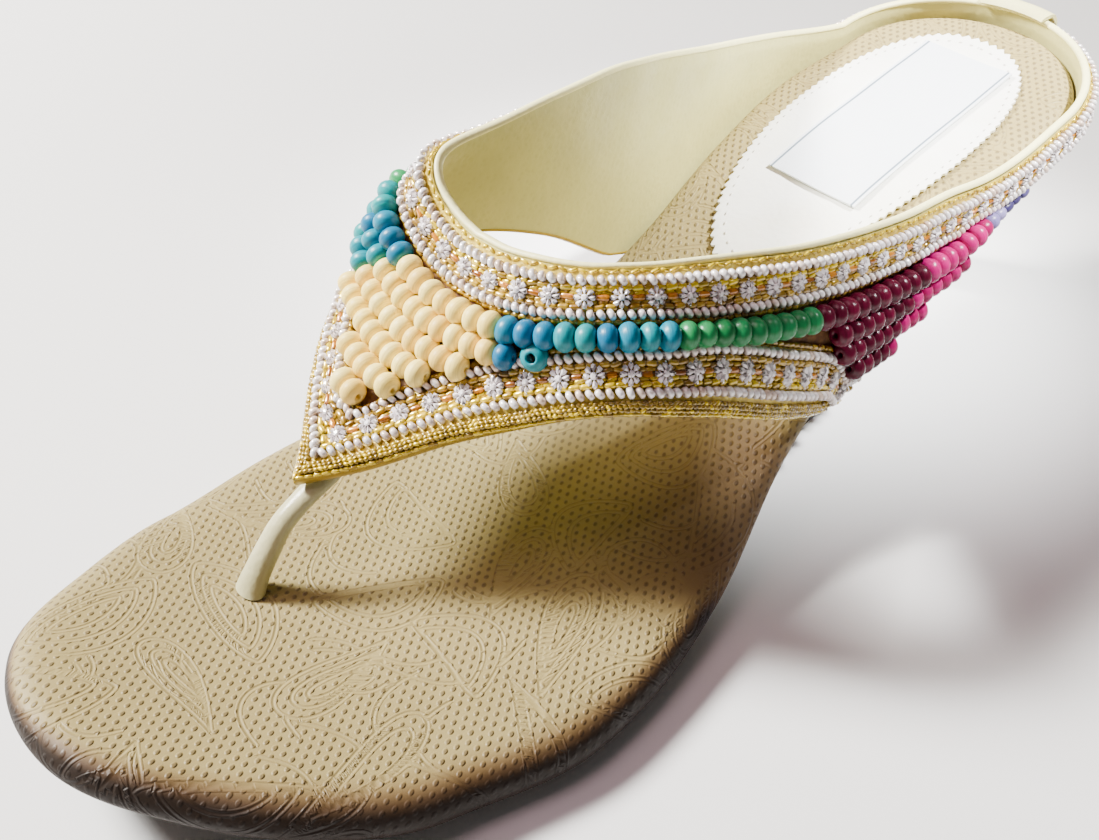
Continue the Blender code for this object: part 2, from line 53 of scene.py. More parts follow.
FOOTBED_ROLL = (
    # inset from the outline, drop below the top
    (7.0, 0.0),
    (3.6, 0.35),
    (1.3, 1.4),
    (0.2, 2.9),
    (0.0, 4.2),
    (0.6, 5.3),
    (2.0, FOOTBED_THICK),
)
OUTSOLE_INSET, OUTSOLE_BEVEL = 2.6, 1.7
OUTLINE = (
    # station, medial, lateral
    (26, 26.5, 24.0),
    (45, 28.0, 25.0),
    (70, 25.7, 25.2),
    (95, 23.4, 26.5),
    (120, 25.7, 30.3),
    (145, 33.3, 38.5),
    (165, 39.2, 43.1),
    (180, 39.9, 43.8),
    (200, 37.7, 38.6),
)
TOE_CAP = (
    # angle from the lateral side, reach from the toe centre
    (0, 38.6),
    (30, 34.6),
    (60, 35.2),
    (90, 40.6),
    (120, 41.2),
    (150, 37.4),
    (180, 37.7),
)
LAST = (
    # station, height, ridge x, medial fullness, lateral fullness, medial rise
    (30, 58.0, -1.0, 0.00, 0.00, 0.00),
    (70, 58.0, -3.0, 0.25, -0.05, 0.40),
    (105, 55.0, -6.0, 0.45, -0.10, 0.60),
    (125, 52.0, -8.0, 0.50, -0.10, 0.70),
    (145, 44.0, -9.5, 0.35, -0.10, 0.60),
    (165, 30.0, -11.0, 0.15, -0.10, 0.45),
    (190, 17.5, -12.0, 0.15, -0.10, 0.30),
    (205, 14.0, -12.0, 0.10, -0.10, 0.20),
)
SIDE_DROP = 90.0
SOLE_LINE, COLLAR_BACK = 1.066, 0.978
MEDIAL_BAND = (
    # lower station, lower share, collar station, collar share, share of the front trim
    (190, 0.00, 137, -0.03, 1.0),
    (184, -0.10, 136, -0.11, 1.0),
    (177, -0.24, 134, -0.20, 1.0),
    (169, -0.40, 131, -0.29, 1.0),
    (159, -0.55, 126, -0.39, 1.0),
    (148, -0.655, 120, -0.47, 1.0),
    (136, -0.72, 113, -0.54, 1.0),
    (124, -0.775, 105, -0.59, 1.0),
    (113, -0.875, 97, -0.64, 1.0),
    (104, -1.00, 89, -0.69, 1.0),
    (96, -SOLE_LINE, 81, -0.75, 0.35),
    (82, -SOLE_LINE, 70, -0.82, 0.0),
    (66, -SOLE_LINE, 57, -0.875, 0.0),
    (46, -SOLE_LINE, 42, -0.925, 0.0),
    (26, -SOLE_LINE, 26, -COLLAR_BACK, 0.0),
)
LATERAL_BAND = (
    # lower station, lower share, collar station, collar share, share of the front trim
    (190, 0.00, 137, -0.03, 1.0),
    (181, 0.09, 136, 0.07, 1.0),
    (171, 0.18, 132, 0.17, 1.0),
    (160, 0.30, 127, 0.26, 1.0),
    (150, 0.42, 121, 0.345, 1.0),
    (139, 0.55, 114, 0.44, 1.0),
    (128, 0.69, 106, 0.54, 1.0),
    (118, 0.85, 98, 0.635, 1.0),
    (109, 1.00, 91, 0.71, 1.0),
    (102, SOLE_LINE, 84, 0.775, 0.35),
    (92, SOLE_LINE, 76, 0.835, 0.0),
    (79, SOLE_LINE, 66, 0.885, 0.0),
    (64, SOLE_LINE, 55, 0.935, 0.0),
    (46, SOLE_LINE, 42, 0.963, 0.0),
    (26, SOLE_LINE, 26, COLLAR_BACK, 0.0),
)
BINDING_WIDTH, TRIM_WIDTH, FIELD_WANTED = 1.5, 9.2, 4.6
HEEL_SEAT_BACK, HEEL_SEAT_BREAST, HEEL_INSET = 2.5, 47.0, 2.2
HEEL_X, HEEL_TIP_STATION, HEEL_TIP_RADIUS = -1.2, 17.0, 7.0
TOP_PIECE_THICK = 5.0
PAD_CENTRE, PAD_BACK, PAD_FRONT = 48.0, 37.0, 47.0
PAD_X, PAD_HALF_WIDTH, PAD_THICK, PAD_GAP = -1.5, 18.5, 0.7, 0.42
LABEL_X, LABEL_HALF_WIDTH, LABEL_THICK = -0.9, 10.2, 0.4
LABEL_BACK, LABEL_FRONT = 19.0, 70.5
POST = (
    # x, station, height over the footbed, half width, half depth
    (-11.6, 200.8, 0.3, 3.4, 2.3),
    (-11.6, 199.6, 3.0, 2.9, 2.1),
    (-11.5, 197.4, 7.0, 2.7, 2.0),
    (-11.4, 194.6, 11.0, 2.7, 1.9),
    (-11.3, 190.6, 13.9, 3.0, 1.7),
    (-11.3, 185.0, 16.6, 3.6, 1.4),
    (-11.2, 179.5, 19.5, 3.8, 1.2),
)
TAB_MEDIAL, TAB_LATERAL = 6.0, 3.4
TAB_SECTION = (
    # distance from the collar, offset from the wall's inside
    (4.2, WALL + 2.55), (3.2, WALL + 2.7), (2.0, WALL + 2.8), (0.6, WALL + 2.3), (-0.6, WALL + 1.5),
    (-1.15, WALL + 0.3), (-1.2, 0.7), (-1.0, -0.3), (-0.6, -0.9), (-0.3, -0.75), (-0.35, 0.9),
    (-0.3, WALL + 0.85), (1.9, WALL + 2.35), (4.2, WALL + 2.3),
)

# ---- sizes of the finer pieces

LOOP_STEPS, HEEL_LOOP_STEPS = 105, 16
LAYER_BASE = WALL + LAYER_GAP  # where the layers on the band start
PIPING_WIDTH, PIPING_THICK = 1.15, 1.55  # the rolled edge, finer than its envelope
AMBER, GOLD, OLIVE = 0, 1, 2  # the tube beads' materials
BEAD_ROWS = (
    # distance from the band's edge, height over the layer's base, length, radius, glass of a tube bead
    (2.95, 0.85, 1.22, 0.98, None),
    (4.15, 0.62, 2.1, 0.60, GOLD),
    (5.0, 0.40, 1.9, 0.52, GOLD),
    (6.35, 0.40, 1.9, 0.52, AMBER),
    (7.2, 0.62, 2.1, 0.60, AMBER),
    (8.35, 0.85, 1.22, 0.98, None),
    (9.5, 0.45, 1.6, 0.52, AMBER),
)
SEED_PITCH, TUBE_PITCH_SHARE = 1.5, 0.84
STITCH_DISTANCE, STITCH_PITCH = 1.45, 1.55
EDGE_ROWS = (
    # distance from the free edge, height over the layer's base, radius, pitch
    (-0.12, -0.15, 0.40, 1.45),
    (0.42, 0.42, 0.42, 0.82),
    (1.0, 0.56, 0.42, 0.82),
    (1.55, 0.5, 0.42, 0.82),
)
STONE_DISTANCE, STONE_HEIGHT, STONE_PITCH, STONE_RADIUS = 5.65, 0.60, 5.30, 1.62
PETALS = 8
PETAL = (
    # height over the girdle, reach as a share of the radius, turn in petals
    (0.86, 0.30, 0.0), (0.52, 0.72, -0.46), (0.95, 0.68, 0.0), (0.52, 0.72, 0.46),
    (0.55, 0.97, -0.27), (0.55, 0.97, 0.27),
    (-0.1, 0.30, 0.0), (-0.1, 0.72, -0.46), (-0.1, 0.97, -0.27), (-0.1, 0.97, 0.27), (-0.1, 0.72, 0.46),
)
PETAL_TOP = [(0, 2, 1), (0, 3, 2), (1, 2, 4), (2, 3, 5), (2, 5, 4)]
PETAL_SIDE = [(0, 1, 7, 6), (1, 4, 8, 7), (4, 5, 9, 8), (5, 3, 10, 9), (3, 0, 6, 10), (6, 7, 8, 9, 10)]
# height and reach of the cup; reach, height and half width of its claws
CUP = ((-0.50, 0.3), (-0.50, 0.96), (0.05, 1.02), (0.15, 0.99), (0.05, 0.94), (-0.02, 0.86), (-0.02, 0.3))
CLAW = ((1.04, 0.0, 0.20), (1.05, 0.45, 0.18), (0.95, 0.66, 0.15), (0.84, 0.70, 0.08))
GROUND = (
    # distance from the trim's edge, height of the gilt cloth
    (0.35, 0.0), (0.4, 0.35), (2.0, 0.5), (4.0, 0.45), (5.6, 0.4), (7.4, 0.45), (9.0, 0.4), (9.1, 0.0),
)
FOLD = (
    # the same for the cloth's fold round the free edge
    (0.5, 0.3), (0.0, 0.35), (-0.3, 0.1), (-0.4, -0.5),
    (-0.35, -1.3), (0.0, -1.9), (0.5, -2.0), (0.4, -0.6),
)
GROUND_DROP = 0.35
WOOD_LENGTH, WOOD_RADIUS, WOOD_ROW_PITCH = 3.22, 2.27, 4.02
CREAM_SHARES = ((-0.235, 0.165), (-0.265, 0.165), (-0.34, 1.0), (-1.0, 1.0))  # by row from the collar
CREAM_STARTS, BLUE_LATERAL, BLUE_MEDIAL, GREEN_STARTS = 130.0, 124.5, 138.5, 102.5  # stations
MAROON_STARTS, MAROON_STEP, PINK_STARTS, LAVENDER_STARTS = 77.5, 4.4, 57.5, 50.0
TURNED_BEAD, TURNED_TILT = (150.7, 0.25), (0.25, -0.35, 0.1)  # station and share, and how its axis leans
AXIAL_STEP = 40.0  # keeps the rings of one bead's grain apart from the next one's
DENT_STEPS = ((1.50, -0.38), (1.02, 1.42))  # the two steps of the lattice of dents
RIB_PITCH = 0.74
UV_SPAN = 100.0  # millimetres of the flattened footbed in one unit of its UV map
TIP_RINGS = (
    # share of the heel's tip, height over the floor
    (0.0, TOP_PIECE_THICK), (0.97, TOP_PIECE_THICK), (1.0, TOP_PIECE_THICK - 0.2),
    (1.01, 2.5), (1.02, 1.0), (1.0, 0.3), (0.97, 0.0), (0.0, 0.0),
)
PAD_RINGS = (
    # share of the pad's outline, share of its thickness
    (0.0, 0), (0.5, 0), (0.9, 0), (1.0, 0), (1.0, 0.8), (0.985, 1),
    (0.93, 1), (0.9, 1), (0.6, 1), (0.3, 1), (0.0, 1),
)
PINKING, PIN_HOLES = 2.1, 2.6  # pitch of the pad's teeth and of its holes

# ---- colours

GLASS = {
    # colour, colour in its depth, metallic, roughness, half a bead's length
    "silver": ((1.0, 0.93, 0.94), (0.72, 0.54, 0.42), 0.14, 0.11, 0.61),
    "amber": ((0.43, 0.265, 0.010), (0.17, 0.085, 0.004), 0.20, 0.15, 1.05),
    "gold": ((0.72, 0.52, 0.003), (0.28, 0.16, 0.002), 0.25, 0.13, 1.05),
    "copper": ((0.50, 0.18, 0.006), (0.20, 0.055, 0.002), 0.20, 0.15, 1.0),
    "olive": ((0.36, 0.235, 0.006), (0.17, 0.10, 0.003), 0.25, 0.15, 0.75),
}
WOOD = {
    # dark, middle and light stain, roughness
    "cream": (((0.86, 0.58, 0.13), (0.97, 0.75, 0.19), (1.0, 0.83, 0.27)), 0.5),
    "blue": (((0.0, 0.12, 0.25), (0.0, 0.19, 0.29), (0.001, 0.28, 0.26)), 0.38),
    "green": (((0.010, 0.16, 0.045), (0.016, 0.23, 0.075), (0.025, 0.31, 0.09)), 0.3),
    "maroon": (((0.05, 0.002, 0.011), (0.09, 0.002, 0.019), (0.13, 0.004, 0.028)), 0.26),
    "pink": (((0.30, 0.0, 0.08), (0.43, 0.001, 0.13), (0.55, 0.002, 0.18)), 0.28),
    "lavender": (((0.14, 0.11, 0.28), (0.20, 0.16, 0.38), (0.28, 0.24, 0.46)), 0.3),
    "violet": (((0.04, 0.03, 0.10), (0.06, 0.05, 0.15), (0.10, 0.08, 0.2)), 0.3),
}

# ---- light and camera

CAMERA_AT = (111.785, -254.013, 157.226)
CAMERA_RIGHT = (0.69223, 0.72041, 0.04272)
CAMERA_UP = (-0.50127, 0.43739, 0.74661)
CAMERA_LENS = 41.22
SPOTS = (
    # name, place, aimed at, watts, angle of the cone, softness
    ("heel_spot", (0.33, 0.36, 0.86), (-0.005, 0.085, 0.05), 245.0, 10.5, 0.03),
    ("band_spot", (-0.71, -0.39, 0.675), (0.0, 0.015, 0.06), 122.0, 12.0, 0.09),
)
PANELS = (
    # name, place, aimed at, watts, width, colour
    ("key", (-0.71, -0.39, 0.675), (-0.01, -0.06, 0.02), 48.0, 0.27, (1.0, 0.975, 0.92)),
    ("sky_panel", (-0.25, -0.36, 1.05), (0.0, 0.0, 0.03), 4.0, 0.5, (1.0, 0.66, 0.72)),
)

rng = np.random.default_rng(7)


def smooth(low, high, x):
    t = np.clip((np.asarray(x, float) - low) / (high - low), 0, 1)
    return t * t * (3 - 2 * t)


def curve(table, column):
    """A smooth function through one column of a table, read against its first."""
    rows = sorted(table)
    x = np.array([row[0] for row in rows], float)
    y = np.array([row[column] for row in rows], float)
    slope = np.gradient(y, x)

    def at(value):
        value = np.clip(np.asarray(value, float), x[0], x[-1])
        i = np.clip(np.searchsorted(x, value) - 1, 0, len(x) - 2)
        step = x[i + 1] - x[i]
        t = (value - x[i]) / step
        rise = t * t * (3 - 2 * t)
        left = step * slope[i] * t * (1 - t) ** 2
        right = step * slope[i + 1] * t * t * (1 - t)
        return y[i] * (1 - rise) + y[i + 1] * rise + left - right

    return at


def refine(table, count):
    """A table's columns as smooth curves, read at evenly spaced places between its rows."""
    rows = [(i, *row) for i, row in enumerate(table)]
    at = np.linspace(0, len(rows) - 1, count)
    return np.stack([curve(rows, column)(at) for column in range(1, len(rows[0]))], -1)


def turns(count):
    """Angles once round."""
    return np.linspace(0, 2 * math.pi, count + 1)[:-1]


def travel(points):
    """Length of the way to each point of a line."""
    return np.concatenate([[0], np.cumsum(np.linalg.norm(np.diff(points, axis=0), axis=1))])


def unit(v):
    return v / np.maximum(np.linalg.norm(v, axis=-1, keepdims=True), 1e-9)


# ---- the last


def centre_line():
    s = np.arange(-8, FOOT_LENGTH + 8.5, 0.5)
    inside = (s >= 0) & (s <= FOOT_LENGTH)
    fall = SEAT_SLOPE_SHARE + (1 - SEAT_SLOPE_SHARE) * smooth(SHANK_STARTS, SHANK_STEEPEST, s)
    fall *= 1 - smooth(BALL_STARTS, BALL_FLAT, s)
    lift = smooth(TOE_SPRING_STARTS, FOOT_LENGTH, s)
    dz = -SEAT_RISE * fall / (fall[inside].sum() * 0.5)
    dz += TOE_SPRING * lift / (lift[inside].sum() * 0.5)
    dy = -np.sqrt(1 - dz**2)
    start = np.argmin(abs(s))
    y, z = np.cumsum(dy) * 0.5, np.cumsum(dz) * 0.5
    return s, y - y[start], z - z[start] + SEAT_RISE, dy, dz


STATION, LINE_Y, LINE_Z, TANGENT_Y, TANGENT_Z = centre_line()
medial_width, lateral_width = curve(OUTLINE, 1), curve(OUTLINE, 2)
toe_reach = curve(TOE_CAP, 1)
last_height, ridge_x = curve(LAST, 1), curve(LAST, 2)
medial_fullness, lateral_fullness, medial_rise = (curve(LAST, k) for k in (3, 4, 5))


def place(x, s, n):
    """The point x to the side of station s and n over the footbed there."""
    x, s, n = np.broadcast_arrays(np.asarray(x, float), s, n)
    ty = np.interp(s, STATION, TANGENT_Y)
    tz = np.interp(s, STATION, TANGENT_Z)
    y = np.interp(s, STATION, LINE_Y) + n * tz
    z = np.interp(s, STATION, LINE_Z) - n * ty
    return np.stack([x, y, z], -1)


def last_base(s, f):
    s, f = np.broadcast_arrays(np.asarray(s, float), np.asarray(f, float))
    angle = np.clip(f, -1, 1) * math.pi / 2
    medial = f < 0
    ridge = ridge_x(s)
    width = np.where(medial, medial_width(s) + ridge, lateral_width(s) - ridge) + GAP
    full = np.where(medial, medial_fullness(s), lateral_fullness(s))
    rise = np.where(medial, medial_rise(s), 0.0)
    out = np.sin(angle) * (1 + full * np.cos(angle) ** 2)
    up = last_height(s) * np.cos(angle) * (1 + rise * np.sin(angle) ** 2)
    up = up - SIDE_DROP * np.clip(np.abs(f) - 1, 0, None)
    turn = np.clip((HEEL_CENTRE - s) / HEEL_CENTRE, 0, 1) * math.pi / 2
    back = (HEEL_REACH + GAP) * np.abs(out) * np.sin(turn)
    station = np.where(s < HEEL_CENTRE, HEEL_CENTRE - back, s)
    return place((ridge + width * out) * np.cos(turn), station, up)


def last_normal(s, f):
    along = last_base(s - 0.5, f) - last_base(s + 0.5, f)
    across = last_base(s, f + 0.004) - last_base(s, f - 0.004)
    normal = np.cross(across, along)
    return normal / np.linalg.norm(normal, axis=-1, keepdims=True)


def last_surface(s, f, off=0.0):
    s, f, off = np.broadcast_arrays(np.asarray(s, float), f, off)
    return last_base(s, f) + off[..., None] * last_normal(s, f)


# ---- the band


def band_lines(half):
    """One side's lines: lower station and share, collar station and share, share of the front trim."""
    front = refine(half, LOOP_STEPS)
    front[:, 1] = np.clip(front[:, 1], -SOLE_LINE, SOLE_LINE)
    ways = [1 - i / HEEL_LOOP_STEPS for i in range(1, HEEL_LOOP_STEPS + 1)]
    return np.concatenate([front, [np.array(half[-1]) * [way, 1, way, 1, 1] for way in ways]])


def on_line(line, v):
    """Station and share at v of the way up a line, from the lower edge to the collar."""
    low_s, low_f, collar_s, collar_f = line.T[:4]
    return low_s + (collar_s - low_s) * v, low_f + (collar_f - low_f) * v


def line_points(line, v, off):
    return last_surface(*on_line(line, v), off)


def to_segments(points, line):
    """Each segment of a line: its step, the points' way from its start, their distance from it squared."""
    for start, end in zip(line[:-1], line[1:]):
        step, away = end - start, points - start
        t = np.clip(away @ step / max(float(step @ step), 1e-9), 0, 1)
        gap = away - t[..., None] * step
        yield step, away, (gap * gap).sum(-1)


def distance_to(points, edge):
    """Distance of each point from a closed line."""
    closed = np.concatenate([edge, edge[:1]])
    return np.sqrt(np.minimum.reduce([square for _, _, square in to_segments(points, closed)]))


class Band:
    """The band's lines round the shoe, from the back over the lateral side, the front and the medial."""

    def __init__(self):
        lateral, medial = band_lines(LATERAL_BAND), band_lines(MEDIAL_BAND)
        self.lines = np.concatenate([lateral[::-1], medial[1:-1]])
        self.count = len(self.lines)
        self.all = list(range(self.count))
        self.v = np.linspace(0, 1, 41)
        points = np.array([line_points(line, self.v, WALL + 1) for line in self.lines])
        self.from_low = np.maximum.accumulate(distance_to(points, points[:, 0]), axis=1)
        from_collar = distance_to(points, points[:, -1])[:, ::-1]
        self.from_collar = np.maximum.accumulate(from_collar, axis=1)
        self.width = (self.from_low + self.from_collar[:, ::-1]).min(axis=1)
        self.free = np.clip(self.lines[:, 4], 0, 1)
        wanted = TRIM_WIDTH * (1 + self.free) + 2 * GAP
        self.fit = np.clip((self.width - FIELD_WANTED) / wanted, 0.78, 1)
        # the front trim looks narrower on the medial side
        steps = np.arange(self.count) - (len(lateral) - 1)
        self.slim = 1 - 0.34 * smooth(0, 9, steps) + 0.15 * smooth(34, 50, -steps)
        self.trim = TRIM_WIDTH * self.fit * self.free * self.slim
        self.spread = self.slim * (1 + 0.10 * smooth(0, 5, -steps))
        self.room = self.width - self.fit * TRIM_WIDTH - self.trim - 2 * GAP

    def at_collar(self, i, distance):
        """How far up line i the place at a distance from the collar lies."""
        return 1 - np.interp(distance, self.from_collar[i], self.v)

    def at_low(self, i, distance):
        """The same for a distance from the lower edge, or a little beyond it."""
        inward = np.interp(np.maximum(distance, 0), self.from_low[i], self.v)
        return inward + np.minimum(distance, 0) / self.width[i]

    def row(self, at, distance, off, kept):
        """Points and normals of a row, on the kept lines. Its distance is one number or one per line."""
        distance = np.broadcast_to(distance, self.count)
        s, f = on_line(self.lines[kept], np.array([at(i, distance[i]) for i in kept]))
        return last_surface(s, f, off), last_normal(s, f)

    def inset(self, distance, i=slice(None)):
        """A distance from the front trim's edge, fitted to the lines' widths and to where the trim ends."""
        return distance * self.fit[i] - TRIM_WIDTH * self.fit[i] * (1 - self.free[i])

    def front_kept(self, distance):
        """Lines on which a row at this distance from the free edge is still on the band."""
        return [i for i in self.all if self.free[i] > 0.02 and self.inset(distance, i) > 0.35]


def spaced(points, normals, pitch, closed=False, start=0.5):
    """Places at an even pitch along a row: position, direction, normal, and share of the row's length."""
    if closed:
        points, normals = (np.concatenate([rows, rows[:1]]) for rows in (points, normals))
    length = travel(points)
    total = length[-1]
    count = max(1, int(round(total / pitch)))
    at = (np.arange(count) + start) * total / count

    def read(rows, where):
        return np.stack([np.interp(where, length, rows[:, k]) for k in range(3)], -1)

    along = read(points, np.minimum(at + 0.6, total)) - read(points, np.maximum(at - 0.6, 0))
    return read(points, at), unit(along), unit(read(normals, at)), at / total


def axes(direction, normal):
    """Rotation matrices with x along a direction, z near a normal."""
    x = unit(direction)
    y = unit(np.cross(normal, x))
    z = np.cross(x, y)
    return np.stack([x, y, z], -1)


# ---- mesh building


def attribute(piece, name, values, domain="POINT"):
    layer = piece.data.attributes.new(name, "FLOAT", domain)
    layer.data.foreach_set("value", np.asarray(values, np.float32))


def link(name, data):
    piece = bpy.data.objects.new(name, data)
    bpy.context.scene.collection.objects.link(piece)
    return piece


def put(name, node, verts, faces, materials, index=None, flat=False, uv=None, sharp=None, replaces=True):
    """A piece from points in the last's millimetres, which stands for a CAD node or only goes with it."""
    mesh = bpy.data.meshes.new(name)
    mesh.from_pydata(((np.asarray(verts, float) + ORIGIN) * MM).tolist(), [], faces)
    for material in materials:
        mesh.materials.append(material)
    if index is not None:
        mesh.polygons.foreach_set("material_index", np.asarray(index, np.int32))
    mesh.polygons.foreach_set("use_smooth", np.full(len(mesh.polygons), not flat))
    if uv is not None:
        layer = mesh.uv_layers.new(name="UVMap")
        loops = np.empty(len(mesh.loops), np.int32)
        mesh.loops.foreach_get("vertex_index", loops)
        layer.data.foreach_set("uv", np.asarray(uv, np.float32)[loops].ravel())
    mesh.update()
    if sharp is not None:
        mesh.set_sharp_from_angle(angle=math.radians(sharp))
    piece = link(name, mesh)
    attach(piece, "root")
    if replaces:
        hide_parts(node)
    return piece


def grid_faces(rows, columns, wrap_rows=False, wrap_columns=False, caps=False):
    faces = []
    for i in range(rows if wrap_rows else rows - 1):
        for j in range(columns if wrap_columns else columns - 1):
            a, b = i * columns + j, i * columns + (j + 1) % columns
            c = ((i + 1) % rows) * columns
            faces.append((a, b, c + (j + 1) % columns, c + j))
    if caps:
        faces += [tuple(range(columns))[::-1], tuple((rows - 1) * columns + k for k in range(columns))]
    return faces


def moved(faces, start):
    return [tuple(start + v for v in face) for face in faces]


def loft(name, node, rings, material, closed=False, caps=False, **options):
    """A piece drawn over rings of points."""
    rings = np.array(rings)
    faces = grid_faces(*rings.shape[:2], closed, True, caps)
    return put(name, node, rings.reshape(-1, 3), faces, [material], **options)


def lathe(profile, sides):
    """A ring round the x axis, from a closed profile of x and radius."""
    x, radius = np.array(profile, float).T
    angle = turns(sides)
    y, z = np.outer(radius, np.cos(angle)).ravel(), np.outer(radius, np.sin(angle)).ravel()
    return np.stack([np.repeat(x, sides), y, z], -1), grid_faces(len(x), sides, True, True)


def bead_shape(length, radius, hole, sides, roundness, steps):
    """A bead on the x axis: rounded outside, with a straight hole."""
    turn = np.linspace(-1, 1, steps) * math.pi / 2
    x = np.sign(np.sin(turn)) * np.abs(np.sin(turn)) ** (2 / roundness) * length / 2
    r = hole + (radius - hole) * np.abs(np.cos(turn)) ** (2 / roundness)
    return lathe(list(zip(x, r)), sides)


class Many:
    """Copies of small shapes, gathered into one mesh."""

    def __init__(self):
        self.verts, self.faces, self.index, self.tone, self.axial, self.total = [], [], [], [], [], 0

    def add(self, shape, positions, rotations, slot=0, scale=1.0, spin=True):
        verts, faces = shape
        count = len(positions)
        slots, scales = np.broadcast_to(slot, count), np.broadcast_to(scale, (count, 3))
        for k in range(count):
            local = verts * scales[k]
            if spin:
                a = rng.uniform(0, 2 * math.pi)
                c, s = math.cos(a), math.sin(a)
                local = local @ np.array([[1, 0, 0], [0, c, s], [0, -s, c]])
            tone = float(rng.uniform(0, 1))
            self.verts.append(positions[k] + local @ rotations[k].T)
            self.faces += moved(faces, self.total)
            self.index += [int(slots[k])] * len(faces)
            self.tone += [tone] * len(verts)
            self.axial.append(verts[:, 0] + AXIAL_STEP * tone)
            self.total += len(verts)

    def piece(self, name, node, materials, **options):
        facet = rng.uniform(0, 1, len(self.faces))
        piece = put(name, node, np.concatenate(self.verts), self.faces, materials, self.index, **options)
        attribute(piece, "tone", self.tone)
        attribute(piece, "axial", np.concatenate(self.axial))
        attribute(piece, "facet", facet, "FACE")


# ---- materials


class Look:
    """A material made of nodes, with short calls for the usual ones."""

    def __init__(self, name, colour, roughness, **inputs):
        self.material = bpy.data.materials.new(name)
        self.material.use_nodes = True
        self.material.diffuse_color = (*colour, 1)
        self.nodes = self.material.node_tree.nodes
        self.set(Base_Color=colour, Roughness=roughness, **inputs)
        coordinates = self.nodes.new("ShaderNodeTexCoord").outputs
        self.object_space, self.flat = coordinates["Object"], coordinates["UV"]

    def fill(self, node, inputs):
        """Link a node's inputs to other nodes, or set them to numbers and colours."""
        for key, value in inputs.items():
            if isinstance(value, bpy.types.NodeSocket):
                self.material.node_tree.links.new(value, node.inputs[key])
            else:
                node.inputs[key].default_value = (*value, 1) if isinstance(value, tuple) else value

    def set(self, **inputs):
        """Link or set the shader's inputs."""
        named = {key.replace("_", " "): value for key, value in inputs.items()}
        self.fill(self.nodes["Principled BSDF"], named)

    def node(self, kind, inputs, output=0, **settings):
        """An output of a new node."""
        node = self.nodes.new("ShaderNode" + kind)
        for key, value in settings.items():
            setattr(node, key, value)
        self.fill(node, inputs)
        return node.outputs[output]

    def attribute(self, name):
        return self.node("Attribute", {}, "Fac", attribute_name=name)

    def part(self, vector, axis):
        return self.node("SeparateXYZ", {0: vector}, axis)

    def math(self, operation, *values):
        return self.node("Math", dict(enumerate(values)), operation=operation)

    def times(self, first, *others):
        for other in others:
            first = self.math("MULTIPLY", first, other)
        return first

    def range(self, value, low, high, start=0.0, end=1.0):
        inputs = dict(enumerate((value, low, high, start, end)))
        return self.node("MapRange", inputs, interpolation_type="SMOOTHSTEP")

    def noise(self, scale, detail=3.0, rough=0.5, vector=None, distortion=0.0):
        inputs = {"Vector": vector or self.object_space, "Scale": scale, "Detail": detail}
        return self.node("TexNoise", {**inputs, "Roughness": rough, "Distortion": distortion})

    def voronoi(self, scale):
        return self.node("TexVoronoi", {"Vector": self.object_space, "Scale": scale}, "Distance")

    def ramp(self, value, *stops):
        node = self.nodes.new("ShaderNodeValToRGB")
        self.fill(node, {0: value})
        elements = node.color_ramp.elements
        while len(elements) < len(stops):
            elements.new(0.5)
        for element, (position, colour) in zip(elements, stops):
            element.position = position
            element.color = (*colour, 1)
        return node.outputs[0]

    def patches(self, noise, dark, light):
        """Two colours by a noise."""
        return self.ramp(noise, (0.3, dark), (0.7, light))

    def uneven(self, scale, detail, low, high):
        """A number that wanders between two."""
        return self.range(self.noise(scale, detail), 0.3, 0.7, low, high)

    def mix(self, factor, a, b, blend="MIX"):
        return self.node("Mix", {0: factor, 6: a, 7: b}, 2, data_type="RGBA", blend_type=blend)

    def bump(self, height, distance, strength, below=None):
        """Bump the shader's normal, over another bump if there is one below."""
        inputs = {"Strength": strength, "Distance": distance, "Height": height}
        normal = self.node("Bump", inputs if below is None else {**inputs, "Normal": below})
        self.set(Normal=normal)
        return normal


def shade(colour, amount):
    return tuple(min(1.0, c * amount) for c in colour)


def leather(name, colour, roughness, grain, depth, wear):
    look = Look(name, colour, roughness)
    base = look.patches(look.noise(60, 4, 0.6), shade(colour, 1 - wear), shade(colour, 1 + wear * 0.6))
    cells = look.voronoi(grain)
    base = look.mix(look.range(cells, 0.0, 0.5, 0.25, 0.0), base, shade(colour, 0.72))
    look.set(Base_Color=base, Roughness=look.uneven(140, 3, roughness - 0.08, roughness + 0.1))
    soft = look.bump(look.noise(110, 3, 0.55), 0.00022, 0.5)
    look.bump(look.math("ADD", cells, look.noise(grain * 1.7, 3, 0.6)), depth, 0.8, soft)
    return look.material


